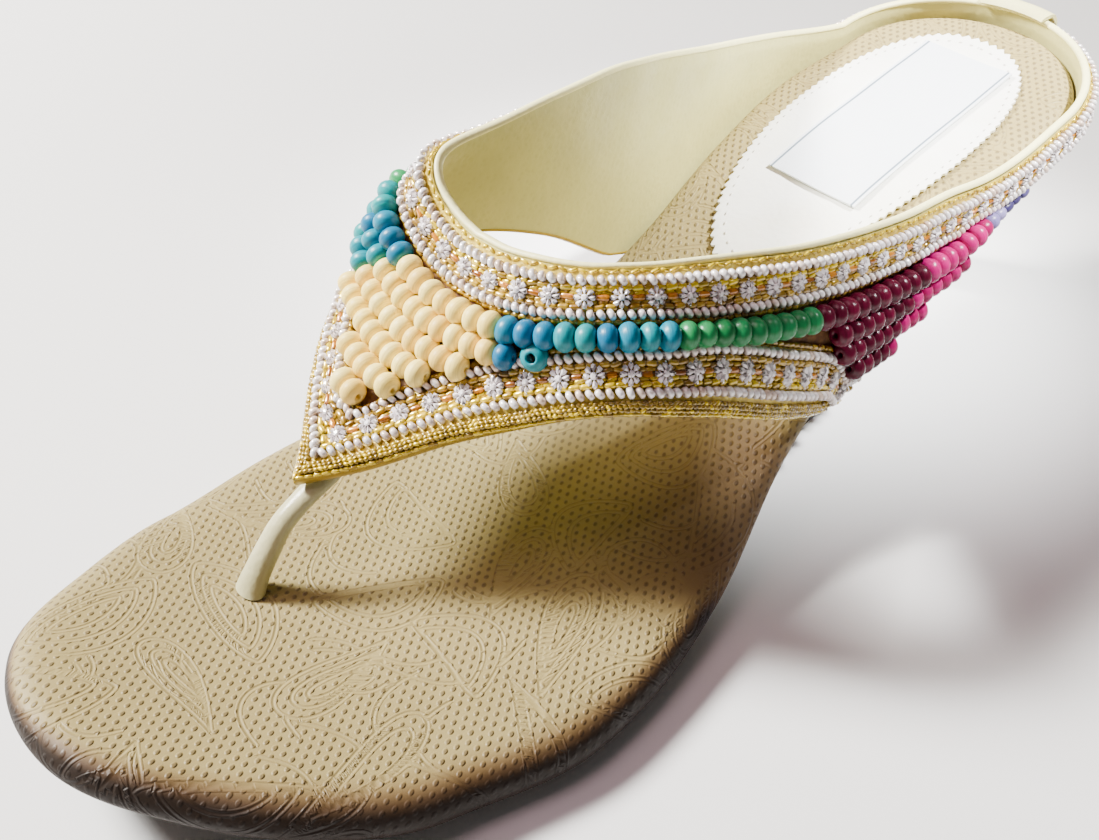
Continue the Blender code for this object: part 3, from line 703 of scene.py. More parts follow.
def embossed():
    """The footbed's leatherette: a lattice of dents, and double ribs along the drawn contours."""
    colour = (0.315, 0.247, 0.096)
    look = Look("footbed_leatherette", colour, 0.5, Specular_IOR_Level=0.3)
    near, side, edge = (look.attribute(name) for name in ("contour_near", "contour_side", "edge"))
    # double rib: a ridge between two fine grooves, fainter here and there
    fade = look.range(look.noise(5.0, 2.0, 0.5, look.flat), 0.30, 0.42, 0.3, 1.0)
    ribs = look.times(look.range(near, 0.48, 0.70, 1.0, 0.0), fade, -1.0)
    line = look.times(look.math("COSINE", look.times(side, 2 * math.pi / RIB_PITCH)), ribs)
    # dents on a slanted lattice, left out near the ribs and shallower towards the burnt and shaded edge
    (ax, ay), (bx, by) = DENT_STEPS
    area = (ax * by - ay * bx) / UV_SPAN
    waves = []
    for kx, ky in ((by, -bx), (-ay, ax)):
        along = look.times(look.part(look.flat, 0), 2 * math.pi * kx / area)
        waves.append(look.math("MULTIPLY_ADD", look.part(look.flat, 1), 2 * math.pi * ky / area, along))
    across, second, third = (look.math("COSINE", wave) for wave in (*waves, look.math("ADD", *waves)))
    lattice = look.math("MULTIPLY_ADD", look.math("ADD", second, third), 0.8, look.times(across, 1.4))
    uneven = look.math("MULTIPLY_ADD", look.noise(60, 2, 0.5, look.flat), 1.6, -0.8)
    dent = look.range(look.math("ADD", lattice, uneven), 0.1, 2.7)
    calm = look.times(look.range(near, 0.22, 0.5), look.range(look.noise(7, 1, 0.5, look.flat), 0.95, 0.85))
    dent = look.times(dent, calm, look.range(edge, 0.3, 0.9, 1.0, 0.35))
    base = look.patches(look.noise(28, 3, 0.6), shade(colour, 0.9), shade(colour, 1.1))
    # the dents and the ribs' grooves are painted darker: painted shade in the recesses
    base = look.mix(look.times(dent, 0.74), base, (0.118, 0.082, 0.034))
    base = look.mix(look.times(look.range(line, 0.2, 0.95), 0.34), base, (0.15, 0.10, 0.035))
    # darker brown towards the front and lateral edges, partly a burnt edge and partly painted shade where
    # the roll turns away from the light, near black under the roll; painted shadow under the band
    edge_burn_shade = look.ramp(
        edge,
        (0.0, (1.0, 1.0, 1.0)),
        (0.35, (0.82, 0.77, 0.76)),
        (0.62, (0.48, 0.39, 0.39)),
        (0.84, (0.19, 0.13, 0.13)),
        (1.0, (0.04, 0.025, 0.025)),
    )
    base = look.mix(1.0, base, edge_burn_shade, "MULTIPLY")
    # painted shadow of the band's lateral half on the footbed
    base = look.mix(look.attribute("painted_shadow"), base, (0.44, 0.33, 0.34), "MULTIPLY")
    look.set(Base_Color=base, Roughness=look.uneven(220, 3, 0.46, 0.6))
    grain = look.bump(look.noise(1500, 3, 0.6), 0.00005, 0.5)
    look.bump(look.math("ADD", look.times(line, -0.20), look.times(dent, -0.76)), 0.00030, 0.8, grain)
    return look.material


def wood(name, tones, roughness):
    """Stained turned wood: fine rings across the bead's axis, and its own tone on each bead."""
    look = Look(name, tones[1], roughness, Coat_Weight=0.08, Coat_Roughness=0.25, Specular_IOR_Level=0.28)
    base = look.ramp(look.attribute("tone"), *zip((0.0, 0.5, 1.0), tones))
    rings = look.noise(2.4, 3, 0.7, look.node("CombineXYZ", {0: look.attribute("axial")}))
    grain = look.noise(420, 4, 0.65, look.node("Mapping", {0: look.object_space, "Scale": [1, 0.35, 1.6]}))
    base = look.mix(look.range(rings, 0.36, 0.56, 0.42, 0.0), base, shade(tones[0], 0.5))
    base = look.mix(look.range(grain, 0.35, 0.6, 0.2, 0.0), base, shade(tones[0], 0.6))
    look.set(Base_Color=base)
    look.bump(look.math("ADD", grain, look.times(rings, 1.5)), 0.00006, 0.7)
    return look.material


def glass_bead(name, colour, deep, metallic, roughness, half_length):
    """Foil lined glass: a glossy body over a bright, uneven lining, with painted shade towards the bead's
    ends.
    """
    look = Look(name, colour, roughness, Metallic=metallic, Coat_Weight=1.0, Coat_Roughness=0.04)
    tone = look.attribute("tone")
    base = look.ramp(tone, (0.0, deep), (0.4, colour), (1.0, shade(colour, 1.25)))
    base = look.mix(look.range(look.noise(1300, 2, 0.6), 0.36, 0.5, 0.55, 0.0), base, deep)
    # painted shade towards the bead's ends, between neighbouring beads
    along = look.math("ABSOLUTE", look.math("MULTIPLY_ADD", tone, -AXIAL_STEP, look.attribute("axial")))
    base = look.mix(look.range(along, half_length * 0.5, half_length, 0.0, 0.6), base, shade(deep, 0.4))
    look.set(Base_Color=base, Roughness=look.uneven(900, 2, roughness * 0.6, roughness * 2.2))
    return look.material


def plain(name, colour, roughness, scale, depth, **inputs):
    look = Look(name, colour, roughness, **inputs)
    look.set(Base_Color=look.patches(look.noise(scale * 0.3, 3), shade(colour, 0.85), shade(colour, 1.12)))
    look.bump(look.noise(scale, 4, 0.6), depth, 0.7)
    return look.material


# ---- the sole


def outline_stations(heel_steps=24, body_steps=96, toe_steps=36):
    """The sole's outline once round: anchor station, x, and distance ahead of the anchor."""
    halves = []
    for side, width in ((-1, medial_width), (1, lateral_width)):
        half = []
        for i in range(heel_steps):
            turn = math.pi / 2 * (1 - i / heel_steps)
            edge = side * width(HEEL_CENTRE) * math.cos(turn)
            half.append((HEEL_CENTRE, edge, -HEEL_REACH * math.sin(turn)))
        half += [(s, side * float(width(s)), 0.0) for s in np.linspace(HEEL_CENTRE, TOE_CENTRE, body_steps)]
        for i in range(1, toe_steps + (side < 0)):
            turn = 90 * i / toe_steps
            reach = toe_reach(turn if side > 0 else 180 - turn)
            turn = math.radians(turn)
            half.append((TOE_CENTRE, side * reach * math.cos(turn), reach * math.sin(turn)))
        halves.append(half)
    medial, lateral = halves
    return np.array(medial + lateral[:0:-1], float)


def sole_ring(outline, scale, n):
    anchor, x, ahead = outline.T
    return place(x * scale, anchor + ahead * scale, n)


def dish(anchor, share):
    depth = -1.2 + 2.0 * smooth(60, 150, anchor)
    return depth * (1 - np.asarray(share) ** 2)


def footbed_top(x, s):
    side = np.where(x < 0, medial_width(s), lateral_width(s))
    behind = np.clip(HEEL_CENTRE - s, 0, None) / HEEL_REACH
    return dish(s, np.hypot(x / side, behind))


def turned(x, y, turn, centre):
    c, s = math.cos(turn), math.sin(turn)
    return np.stack([x * c - y * s, x * s + y * c], -1) + centre


def teardrop(length, width, curl, turn, centre):
    """A closed leaf or paisley contour: round behind, pointed ahead, its point bent aside."""
    t = np.linspace(0, 2 * math.pi, 72)
    x = length / 2 * np.cos(t)
    ahead = np.clip(x / length + 0.5, 0, 1)
    y = width / 2 * np.sin(t) * np.abs(np.sin(t / 2)) ** 1.3 + curl * width * ahead**2.2
    return turned(x, y, turn, centre)


def leaf(length, width, bend, turn, centre):
    """A closed leaf: pointed at both ends, its axis bent."""
    t = np.linspace(0, 2 * math.pi, 64)
    x = length / 2 * np.cos(t)
    y = width / 2 * np.sign(np.sin(t)) * np.abs(np.sin(t)) ** 1.5
    return turned(x, y + bend * width * (1 - (2 * x / length) ** 2), turn, centre)


def sweep(length, bend, turn, start):
    """An open line that bends one way and then the other."""
    steps = 48
    heading = turn + bend * np.sin(np.linspace(0, 1, steps) * math.pi * 1.5)
    step = length / (steps - 1)
    return start + np.stack([np.cumsum(np.cos(heading)), np.cumsum(np.sin(heading))], -1) * step


def contours():
    """Leaf and paisley loops with smaller ones inside, then lines that sweep away from them.

    Each line comes with whether it is a loop that hides what comes after it.
    """
    draw = np.random.default_rng(12)
    found, sweeps = [], []
    for row in range(14):
        for column in range(-3, 4):
            centre = np.array([(column + row % 2 / 2) * 19.0, 6 + row * 18.0]) + draw.uniform(-3.5, 3.5, 2)
            turn = draw.uniform(0, 2 * math.pi)
            length, width = draw.uniform(17, 26), draw.uniform(8.5, 12.5)
            side = draw.choice([-1, 1])
            bend = side * draw.uniform(0.15, 0.5)
            shape = leaf if draw.uniform() < 0.55 else teardrop
            if draw.uniform() < 0.6:
                found.append((shape(length * 0.5, width * 0.3, bend, turn, centre), False))
            found.append((shape(length * 0.74, width * 0.62, bend, turn, centre), False))
            found.append((shape(length, width, bend, turn, centre), True))
            if draw.uniform() < 0.7:
                away = np.array([math.cos(turn), math.sin(turn)])
                across = np.array([-away[1], away[0]]) * side * width * draw.uniform(0.75, 1.0)
                reach, sway = draw.uniform(22, 38), side * draw.uniform(0.6, 1.5)
                for gap in (1.0, 1.3):
                    line = sweep(reach * gap, sway, turn, centre - away * length * 0.6 + across * gap)
                    sweeps.append((line, False))
    return found + sweeps


def inside(points, loop):
    """Which flat points lie inside a closed line."""
    found = np.zeros(len(points), bool)
    for start, end in zip(loop, np.roll(loop, -1, axis=0)):
        if start[1] != end[1]:
            crossing = (start[1] > points[:, 1]) != (end[1] > points[:, 1])
            at = start[0] + (points[:, 1] - start[1]) * (end[0] - start[0]) / (end[1] - start[1])
            found ^= crossing & (points[:, 0] < at)
    return found


def contour_field(flat):
    """How near a contour is to each point of the flattened footbed, and the same with its side as sign."""
    near, side = np.full(len(flat), 9.0), np.full(len(flat), 9.0)
    hidden = np.zeros(len(flat), bool)
    for line, loop in contours():
        middle = (line.max(axis=0) + line.min(axis=0)) / 2
        reach = np.linalg.norm(line - middle, axis=1).max() + 3.0
        pick = np.flatnonzero((np.linalg.norm(flat - middle, axis=1) < reach) & ~hidden)
        best, sign = np.full(len(pick), 81.0), np.ones(len(pick))
        for step, away, square in to_segments(flat[pick], line):
            closer = square < best
            best[closer] = square[closer]
            sign[closer] = np.sign(step[0] * away[closer, 1] - step[1] * away[closer, 0])
        distance = np.sqrt(best)
        closer = distance < near[pick]
        near[pick[closer]] = distance[closer]
        side[pick[closer]] = (distance * sign)[closer]
        if loop:
            hidden[pick[inside(flat[pick], line)]] = True
    return near, side


def burn_and_shade(depth, x, station):
    """How dark the footbed's edge is, partly burnt brown and partly painted shade on the front and lateral
    roll, which turns away from the light, by the depth inside its outline and by the place round it.
    """
    front = smooth(4, 38, x + (station - 200) * 0.45)
    reach = np.maximum(smooth(0.0, 0.3, front), smooth(200, 216, station))
    return np.clip(1.15 - depth / (1.0 + 6.2 * front), 0, 1) * reach


def painted_band_shadow(x, station):
    """How much painted shadow lies on the leather under the lateral half of the band."""
    return smooth(4, 27, x) * smooth(106, 120, station) * (1 - smooth(138, 164, station))


def footbed_skin():
    outline = outline_stations(46, 230, 92)
    anchor, x, ahead = outline.T
    reach = np.hypot(x, ahead)
    insets, drops = refine(FOOTBED_ROLL, 25).T
    way = travel(np.stack([insets, drops], -1))
    rings, flats, edges = [], [], []

    def add(share, height, spread, edge_burn_shade):
        """A ring, its place on the flattened footbed, and how dark its edge is, burnt and painted shade."""
        rings.append(sole_ring(outline, share, height))
        flats.append(np.stack([x * spread, anchor + ahead * spread], -1))
        edges.append(burn_and_shade(reach * (1 - edge_burn_shade), x * edge_burn_shade, anchor + ahead * edge_burn_shade))

    for t in np.linspace(0, 1, 60)[:-1]:
        share = (1 - insets[0] / reach) * t
        add(share, dish(anchor, share), share, share)
    for inset, drop, gone in zip(insets, drops, way):
        share = 1 - np.maximum(inset, 0) / reach
        height = dish(anchor, share) * (1 - smooth(2.6, 3.4, drop)) - drop
        add(share, height, 1 - (insets[0] - gone) / reach, share)
    for share in (0.6, 0.0):
        add(share, -FOOTBED_THICK, share, 1.0)
    flat = np.concatenate(flats)
    near, side = contour_field(flat)
    piece = loft("footbed_skin", "footbed", rings, embossed(), uv=flat / UV_SPAN)
    attribute(piece, "contour_near", near)
    attribute(piece, "contour_side", side)
    attribute(piece, "edge", np.concatenate(edges))
    attribute(piece, "painted_shadow", painted_band_shadow(*flat.T))


def outsole_skin():
    outline = outline_stations()
    anchor, x, ahead = outline.T
    reach = np.hypot(x, ahead)
    front = smooth(98, 118, anchor)
    margin = OUTSOLE_INSET - (OUTSOLE_INSET + GAP + WALL) * (1 - front)
    bevel = 0.6 + (OUTSOLE_BEVEL - 0.6) * front
    top = -FOOTBED_THICK - GAP
    bottom = top - OUTSOLE_THICK
    lip = 0.4  # depth of the rounded top edge
    rounding = ((0.45, 0.0), (0.3, 0.05), (0.08, 0.2), (0.0, lip))
    insets = [(margin + inset, top - drop) for inset, drop in rounding]
    insets += [(margin + bevel * t, top - lip + (bottom - top + lip) * t) for t in (0.35, 0.7, 0.9)]
    insets += [(margin + bevel + extra, bottom) for extra in (0.0, 0.25, 0.8)]
    levels = [(0.0, top), (0.8, top)] + [(1 - inset / reach, n) for inset, n in insets]
    levels += [(share, bottom) for share in (0.8, 0.5, 0.25, 0.0)]
    rings = np.array([sole_ring(outline, share, n) for share, n in levels])
    rings[:, :, 2] = np.maximum(rings[:, :, 2], FLOOR)
    look = Look("sole_rubber", (0.035, 0.022, 0.016), 0.55)
    look.set(Base_Color=look.patches(look.noise(60, 3), (0.028, 0.018, 0.013), (0.05, 0.033, 0.024)))
    wave = look.math("SINE", look.times(look.part(look.object_space, 1), 2400.0))
    ribs = look.bump(look.range(wave, 0.2, 0.9), 0.0002, 0.5)
    look.bump(look.noise(900, 4, 0.6), 0.00008, 0.6, ribs)
    loft("outsole_skin", "outsole", rings, look.material)


def heel_skin():
    """The heel, narrowing from its seat to its tip, and the top piece under it."""
    around = turns(96)
    middle, half_length = (HEEL_SEAT_BACK + HEEL_SEAT_BREAST) / 2, (HEEL_SEAT_BREAST - HEEL_SEAT_BACK) / 2
    half_width = (float(medial_width(HEEL_CENTRE)) + float(lateral_width(HEEL_CENTRE))) / 2 - HEEL_INSET
    ahead = -half_length * np.cos(around) * (1 - 0.06 * np.sin(around) ** 2)
    side = np.abs(np.sin(around)) ** 0.8 * np.sign(np.sin(around)) * half_width
    under = -FOOTBED_THICK - OUTSOLE_THICK - 2 * GAP
    *rings, seat = (place(HEEL_X + side * k, middle + ahead * k, under) for k in (0.0, 0.5, 0.97, 1.0))
    centre = np.array([HEEL_X, -HEEL_TIP_STATION, FLOOR + TOP_PIECE_THICK + GAP])
    tip = centre + HEEL_TIP_RADIUS * np.stack([np.sin(around), 1.1 * np.cos(around), 0 * around], -1)
    for t in (0.0, *np.linspace(0.01, 1, 40)):
        narrow = 1 - (1 - t) ** 2.6
        share = np.array([narrow, narrow, t])
        rings.append(seat * (1 - share) + tip * share)
    rings += [centre + (tip - centre) * share for share in (0.96, 0.0)]
    tan = leather("heel_leather", (0.32, 0.25, 0.09), 0.42, 1100, 0.00004, 0.06)
    loft("heel_cover", "heel", rings, tan)
    foot = np.array([HEEL_X, -HEEL_TIP_STATION, FLOOR])
    rings = [foot + (tip - centre) * share + [0, 0, height] for share, height in TIP_RINGS]
    rubber = plain("tip_rubber", (0.02, 0.02, 0.021), 0.6, 900, 0.00008)
    loft("heel_tip_rubber", "top_piece", rings, rubber, sharp=50)


# ---- the band's leather


def band_leather():
    """The wall: cream lining inside, backing outside, thinner towards the collar."""
    rings = []
    for i, line in enumerate(band.lines):
        v = band.at_collar(i, BINDING_WIDTH * 0.45) * (1 - np.linspace(1, 0, 20) ** 1.7)
        thin = 0.3 * smooth(3.0, 0.8, np.interp(1 - v, band.v, band.from_collar[i]))
        outer, inner = line_points(line, v, WALL - thin), line_points(line, v, thin)
        rings.append([*outer, *inner[::-1], line_points(line, v[0], WALL * 0.5)])
    lining = leather("lining_leather", (0.58, 0.54, 0.20), 0.46, 800, 0.00005, 0.10)
    loft("band_leather", "upper", rings, lining, closed=True, sharp=60)


def binding():
    """The rolled edge along the collar."""
    around = turns(16)
    distance = PIPING_WIDTH / 2 * (1 - np.cos(around))
    off = WALL / 2 + 0.1 + (PIPING_THICK / 2) * np.sin(around)
    rings = [line_points(line, band.at_collar(i, distance), off) for i, line in enumerate(band.lines)]
    cream = leather("binding_leather", (0.94, 0.89, 0.44), 0.42, 1000, 0.00005, 0.08)
    loft("collar_piping", "collar_binding", rings, cream, closed=True)


def tab():
    """The small leather tab over the joint of the binding."""
    distance, off = np.array(TAB_SECTION).T
    rings = []
    for station in np.linspace(-TAB_MEDIAL, TAB_LATERAL, 30):
        side = -1 if station < 0 else 1
        line = np.array([abs(station), side * SOLE_LINE, abs(station), side * COLLAR_BACK])
        rings.append(line_points(line, 1 - distance / band.width[0], off))
    cream = leather("tab_leather", (0.70, 0.66, 0.32), 0.4, 900, 0.00006, 0.08)
    loft("back_tab_leather", "back_tab", rings, cream, caps=True, sharp=60)


def post():
    """The rolled leather toe post, flattened where it passes under the band."""
    steps = 40
    x, station, height, half_width, half_depth = refine(POST, steps).T
    # rolled tighter than its envelope, most of all where it goes under the band
    half_width = half_width * (0.84 - 0.22 * smooth(1.5, 4.5, np.linspace(0, len(POST) - 1, steps)))
    half_depth = half_depth * 0.9
    around = turns(32)
    spine = place(x, station, height + footbed_top(x, station))
    tangent = unit(np.gradient(spine, axis=0))
    side = np.array([1.0, 0.0, 0.0])
    rings = []
    for i in range(steps):
        wide, deep = np.cos(around) * half_width[i], np.sin(around) * half_depth[i]
        ring = spine[i] + np.outer(wide, side) + np.outer(deep, np.cross(side, tangent[i]))
        foot_x, foot_s = x[i] + wide, station[i] + deep
        foot = place(foot_x, foot_s, height[i] + footbed_top(foot_x, foot_s))
        rings.append(foot + (ring - foot) * smooth(0, 5, i))
    cream = leather("post_leather", (0.50, 0.47, 0.26), 0.38, 900, 0.00006, 0.08)
    loft("toe_post_leather", "toe_post", rings, cream, caps=True, sharp=60)


# ---- the trims


def trim_row(where, distance, height, pitch):
    """A row of a trim: the lines it lies on, its points, and places along it at a pitch."""
    if where == "collar":
        kept, at, distance = band.all, band.at_collar, distance * band.fit
    else:
        kept, at, distance = band.front_kept(distance), band.at_low, band.inset(distance) * band.spread
    points, normals = band.row(at, distance, LAYER_BASE + height, kept)
    return kept, points, spaced(points, normals, pitch, where == "collar")


def strings(where, seeds, tubes):
    """Rows of seed and tube beads, strung at a slant like the strands of a rope."""
    for distance, height, length, radius, glass in BEAD_ROWS:
        if glass is None:
            beads, pitch, slants = seeds, SEED_PITCH, (0.45, 0.8)
            shape = bead_shape(length, radius, radius * 0.25, 12, 2.3, 7)
        else:
            beads, pitch, slants = tubes, length * TUBE_PITCH_SHARE, (-0.1, 0.25)
            shape = bead_shape(length, radius, 0.2, 9, 3.4, 6)
        _, _, (pos, along, normal, _) = trim_row(where, distance, height, pitch)
        count = len(pos)
        slant = rng.uniform(*slants, (count, 1))
        tilt = along + slant * np.cross(normal, along) + 0.08 * rng.normal(size=(count, 3))
        size = np.stack([rng.uniform(0.86, 1.0, count), *rng.uniform(0.86, 1.04, (2, count))], -1)
        pos = pos + normal * rng.normal(0, 0.07, (count, 1))
        beads.add(shape, pos, axes(tilt, normal), glass or 0, size)


def stitches(tubes):
    """Gold stitches along the collar, leaning to and fro."""
    points, normals = band.row(band.at_collar, STITCH_DISTANCE, LAYER_BASE, band.all)
    pos, along, normal, _ = spaced(points, normals, STITCH_PITCH, True)
    zig = np.where(np.arange(len(pos)) % 2 == 0, 0.4, -0.4)[:, None]
    turn = axes(along + zig * np.cross(normal, along), normal)
    size = rng.uniform(0.85, 1.05, (len(pos), 3))
    tubes.add(bead_shape(1.5, 0.34, 0.1, 8, 2.6, 5), pos, turn, GOLD, size)


def edge_rope(tubes):
    """A rope of tube beads along the front: one row on the free edge, three tangled ones beside it."""
    kept = band.front_kept(1.4)
    for step, (distance, height, radius, pitch) in enumerate(EDGE_ROWS):
        points, normals = band.row(band.at_low, distance * band.slim, LAYER_BASE + height, kept)
        pos, along, normal, _ = spaced(points, normals, pitch)
        count = len(pos)
        lean = 0.9 if step else 0.1
        tilt = along - rng.uniform(-lean, lean, (count, 1)) * np.cross(normal, along)
        glass = np.where(rng.uniform(0, 1, count) < 0.2, GOLD, OLIVE) if step else GOLD
        tube = bead_shape(pitch * 1.25, radius, 0.15, 8, 3.0, 5)
        tubes.add(tube, pos, axes(tilt, normal), glass, rng.uniform(0.8, 1.1, (count, 3)))


def set_stones(where, stones, cups):
    """Stones in their cups, with a copper bit between each two."""
    kept, points, (pos, along, normal, _) = trim_row(where, STONE_DISTANCE, STONE_HEIGHT, STONE_PITCH)
    count = len(pos)
    squash = np.ones((count, 3))
    if where == "front":
        squash[:, 2] = np.interp((np.arange(count) + 0.5) / count, run_shares(points), band.spread[kept])
    upright = axes(along, normal)[:, :, [2, 0, 1]]
    size = rng.uniform(0.95, 1.03, (count, 1)) * squash
    stones.add(cut_stone(STONE_RADIUS), pos, upright, 0, size, spin=False)
    cups.add(stone_cup(STONE_RADIUS), pos, upright, 0, squash, spin=False)
    between = (pos[1:] + pos[:-1]) / 2 + normal[1:] * 0.1
    size = rng.uniform(0.85, 1.1, (count - 1, 3))
    cups.add(bead_shape(2.0, 0.55, 0.15, 9, 3.2, 6), between, axes(along[1:], normal[1:]), 1, size)


def trims():
    silver, amber, gold, copper, olive = (glass_bead(f"{name}_glass", *row) for name, row in GLASS.items())
    foil = Look("foil_metal", (0.80, 0.78, 0.74), 0.2, Metallic=1.0).material
    look = Look("clear_stone", (0.93, 0.92, 0.95), 0.10, Metallic=0.0, Coat_Weight=1.0, Coat_Roughness=0.02)
    # painted reflections: each facet gets a dark, grey or bright colour at random, as glints and dark
    # reflections
    painted_dark_reflection, painted_grey_reflection, bright = (0.17, 0.15, 0.15), (0.50, 0.46, 0.46), (1.0, 0.91, 0.93)
    stops = (0.0, painted_dark_reflection), (0.2, painted_grey_reflection), (0.4, bright), (1.0, (1.0, 0.96, 0.98))
    look.set(Base_Color=look.ramp(look.attribute("facet"), *stops))
    for where in ("collar", "front"):
        node = f"{where}_trim"
        seeds, tubes, stones, cups = Many(), Many(), Many(), Many()
        strings(where, seeds, tubes)
        if where == "collar":
            stitches(tubes)
        else:
            edge_rope(tubes)
        seeds.piece(f"{where}_seed_beads", node, [silver])
        tubes.piece(f"{where}_tube_beads", node, [amber, gold, olive], replaces=False)
        set_stones(where, stones, cups)
        stones.piece(f"{where}_stones", node, [look.material], flat=True, replaces=False)
        cups.piece(f"{where}_stone_cups", node, [foil, copper], sharp=40, replaces=False)
        trim_ground(where, node)


def cut_stone(radius):
    """A round stone cut into petals round a small table. Its axis is x."""
    verts, faces = [], []
    step = 2 * math.pi / PETALS

    def add(points, new_faces):
        """Points by height, reach and turn, as in PETAL."""
        faces.extend(moved(new_faces, len(verts)))
        for height, reach, turn in points:
            out, angle = radius * reach, turn * step
            verts.append((height, out * math.cos(angle), out * math.sin(angle)))

    def ring(height, reach, turn):
        return [(height, reach, k + turn) for k in range(PETALS)]

    after = [(k + 1) % PETALS for k in range(PETALS)]
    sides = [(k, PETALS + k, b) for k, b in enumerate(after)]
    sides += [(PETALS + k, PETALS + b, b) for k, b in enumerate(after)]
    sides += [(2 * PETALS + k, 2 * PETALS + b, PETALS + b, PETALS + k) for k, b in enumerate(after)]
    caps = [tuple(range(PETALS))[::-1], tuple(range(2 * PETALS, 3 * PETALS))]
    add(ring(1.12, 0.16, 0) + ring(0.92, 0.33, 0.5) + ring(0.0, 0.30, 0.5), sides + caps)
    for k in range(PETALS):
        add([(height, reach, k + turn) for height, reach, turn in PETAL], PETAL_TOP + PETAL_SIDE)
    return np.array(verts), faces


def stone_cup(radius):
    """A metal cup with a rim and four claws. Its axis is x."""
    verts, faces = lathe([(x, reach * radius) for x, reach in CUP], 14)
    verts, up = list(verts), np.array([1.0, 0, 0])
    for a in turns(4):
        out, side = np.array([0, math.cos(a), math.sin(a)]), np.array([0, -math.sin(a), math.cos(a)])
        faces += moved(grid_faces(len(CLAW), 4, False, True, caps=True), len(verts))
        for reach, height, half in CLAW:
            centre = out * radius * reach + up * height
            low, high = centre - up * 0.09, centre + up * 0.10 + out * 0.06
            wide, narrow = side * half, side * half * 0.8
            verts += [low - wide, low + wide, high + narrow, high - narrow]
    return np.array(verts), faces


def trim_ground(where, node):
    """The gilt cloth under the beads, a thin strip with a raised middle."""
    distance, height = np.array(GROUND).T
    low, high = distance[0], distance[-1]
    rings = []
    if where == "collar":
        kept, distance = band.all, np.interp(distance, [low, high], [PIPING_WIDTH, high])
    else:
        kept = [i for i in band.all if band.free[i] > 0.12]
    for i in kept:
        if where == "collar":
            v = band.at_collar(i, np.clip(distance * band.fit[i], PIPING_WIDTH, band.width[i] - 0.2))
        else:
            v = band.at_low(i, np.maximum(band.inset(distance, i), 0.0) * band.spread[i])
        rings.append(line_points(band.lines[i], v, LAYER_BASE - GROUND_DROP + height))
    look = Look(f"{where}_gilt_cloth", (0.62, 0.43, 0.12), 0.35, Metallic=0.3)
    look.set(Base_Color=look.patches(look.noise(700, 3, 0.6), (0.46, 0.31, 0.03), (0.90, 0.72, 0.12)))
    look.bump(look.times(look.noise(2600, 2, 0.5), look.voronoi(1500)), 0.0002, 0.8)
    closed = where == "collar"
    loft(f"{where}_gilt_ground", node, rings, look.material, closed, sharp=50, replaces=False)
    if not closed:
        # the same cloth folded round the wall's free edge
        distance, height = np.array(FOLD).T
        off = LAYER_BASE - GROUND_DROP + height
        rings = [line_points(band.lines[i], band.at_low(i, distance), off) for i in kept]
        edge = plain("edge_gilt", (0.38, 0.25, 0.018), 0.3, 1500, 0.0002, Metallic=0.3)
        loft("front_edge_fold", node, rings, edge, replaces=False)


# ---- the wood beads


def wood_colour(station, share, row):
    """Stain of a wood bead by the place on the last where it lies, and by its row from the collar."""
    medial, lateral = CREAM_SHARES[min(row, len(CREAM_SHARES) - 1)]
    if medial < share < lateral and station > CREAM_STARTS:
        return "cream"
    if station > (BLUE_LATERAL if share > 0 else BLUE_MEDIAL):
        return "blue"
    if station > GREEN_STARTS:
        return "green"
    if station > MAROON_STARTS + MAROON_STEP * row:
        return "maroon"
    return "pink" if station > PINK_STARTS else "lavender" if station > LAVENDER_STARTS else "violet"


def wood_beads():
    names = list(WOOD)
    shape = bead_shape(WOOD_LENGTH, WOOD_RADIUS, 0.55, 20, 2.0, 11)
    beads = Many()
    first = np.minimum(band.room / 2, WOOD_RADIUS + 0.15)
    for row in range(9):
        distance = TRIM_WIDTH * band.fit + GAP + first + row * WOOD_ROW_PITCH
        v = np.array([band.at_collar(i, distance[i]) for i in band.all])
        spare = np.array([np.interp(v[i], band.v, band.from_low[i]) for i in band.all]) - band.trim
        fits = (spare > (0.3 if row == 0 else np.where(band.free > 0.3, 0.35, 0.6))) & (band.room > 1.2)
        station, share = on_line(band.lines, v)
        for run in runs(fits):
            if len(run) < 2:
                continue
            points, normals = band.row(band.at_collar, distance, LAYER_BASE + WOOD_RADIUS * 0.94, run)
            start = 0.3 + 0.4 * (row % 2)
            pos, along, normal, part = spaced(points, normals, WOOD_LENGTH * 0.98, start=start)
            at = np.interp(part, run_shares(points), run)
            room, at_station, at_share = (np.interp(at, band.all, x) for x in (band.room, station, share))
            size = np.clip(room / (2 * WOOD_RADIUS - 0.2), 0.42, 1.0)
            for k in range(len(pos)):
                name = wood_colour(at_station[k], at_share[k], row)
                if row and name == "green":
                    continue
                jitter = rng.uniform(0.95, 1.04, 3) * size[k]
                jitter[0] = rng.uniform(0.93, 1.02)
                drop = normal[k] * WOOD_RADIUS * (size[k] - 1)
                tilt = along[k] + 0.05 * rng.normal(size=3)
                turn = axes(tilt[None], normal[k][None])
                beads.add(shape, [pos[k] + drop], turn, names.index(name), jitter[None])
    # the one bead that shows its hole
    out = last_normal(*TURNED_BEAD)
    pos = last_surface(*TURNED_BEAD, LAYER_BASE + WOOD_LENGTH / 2)
    shape = bead_shape(WOOD_LENGTH, WOOD_RADIUS, 0.8, 24, 1.7, 13)
    turn = axes((out + TURNED_TILT)[None], np.array([[0.0, 0.0, 1.0]]))
    beads.add(shape, [pos], turn, names.index("blue"))
    beads.piece("wood_beads", "bead_field", [wood(f"wood_{name}", *row) for name, row in WOOD.items()])


def run_shares(points):
    """Share of a row's length at each of its points."""
    length = travel(points)
    return length / length[-1]


def runs(mask):
    """Lists of following indices where a mask holds."""
    found = np.flatnonzero(mask)
    return [run.tolist() for run in np.split(found, np.flatnonzero(np.diff(found) > 1) + 1)]


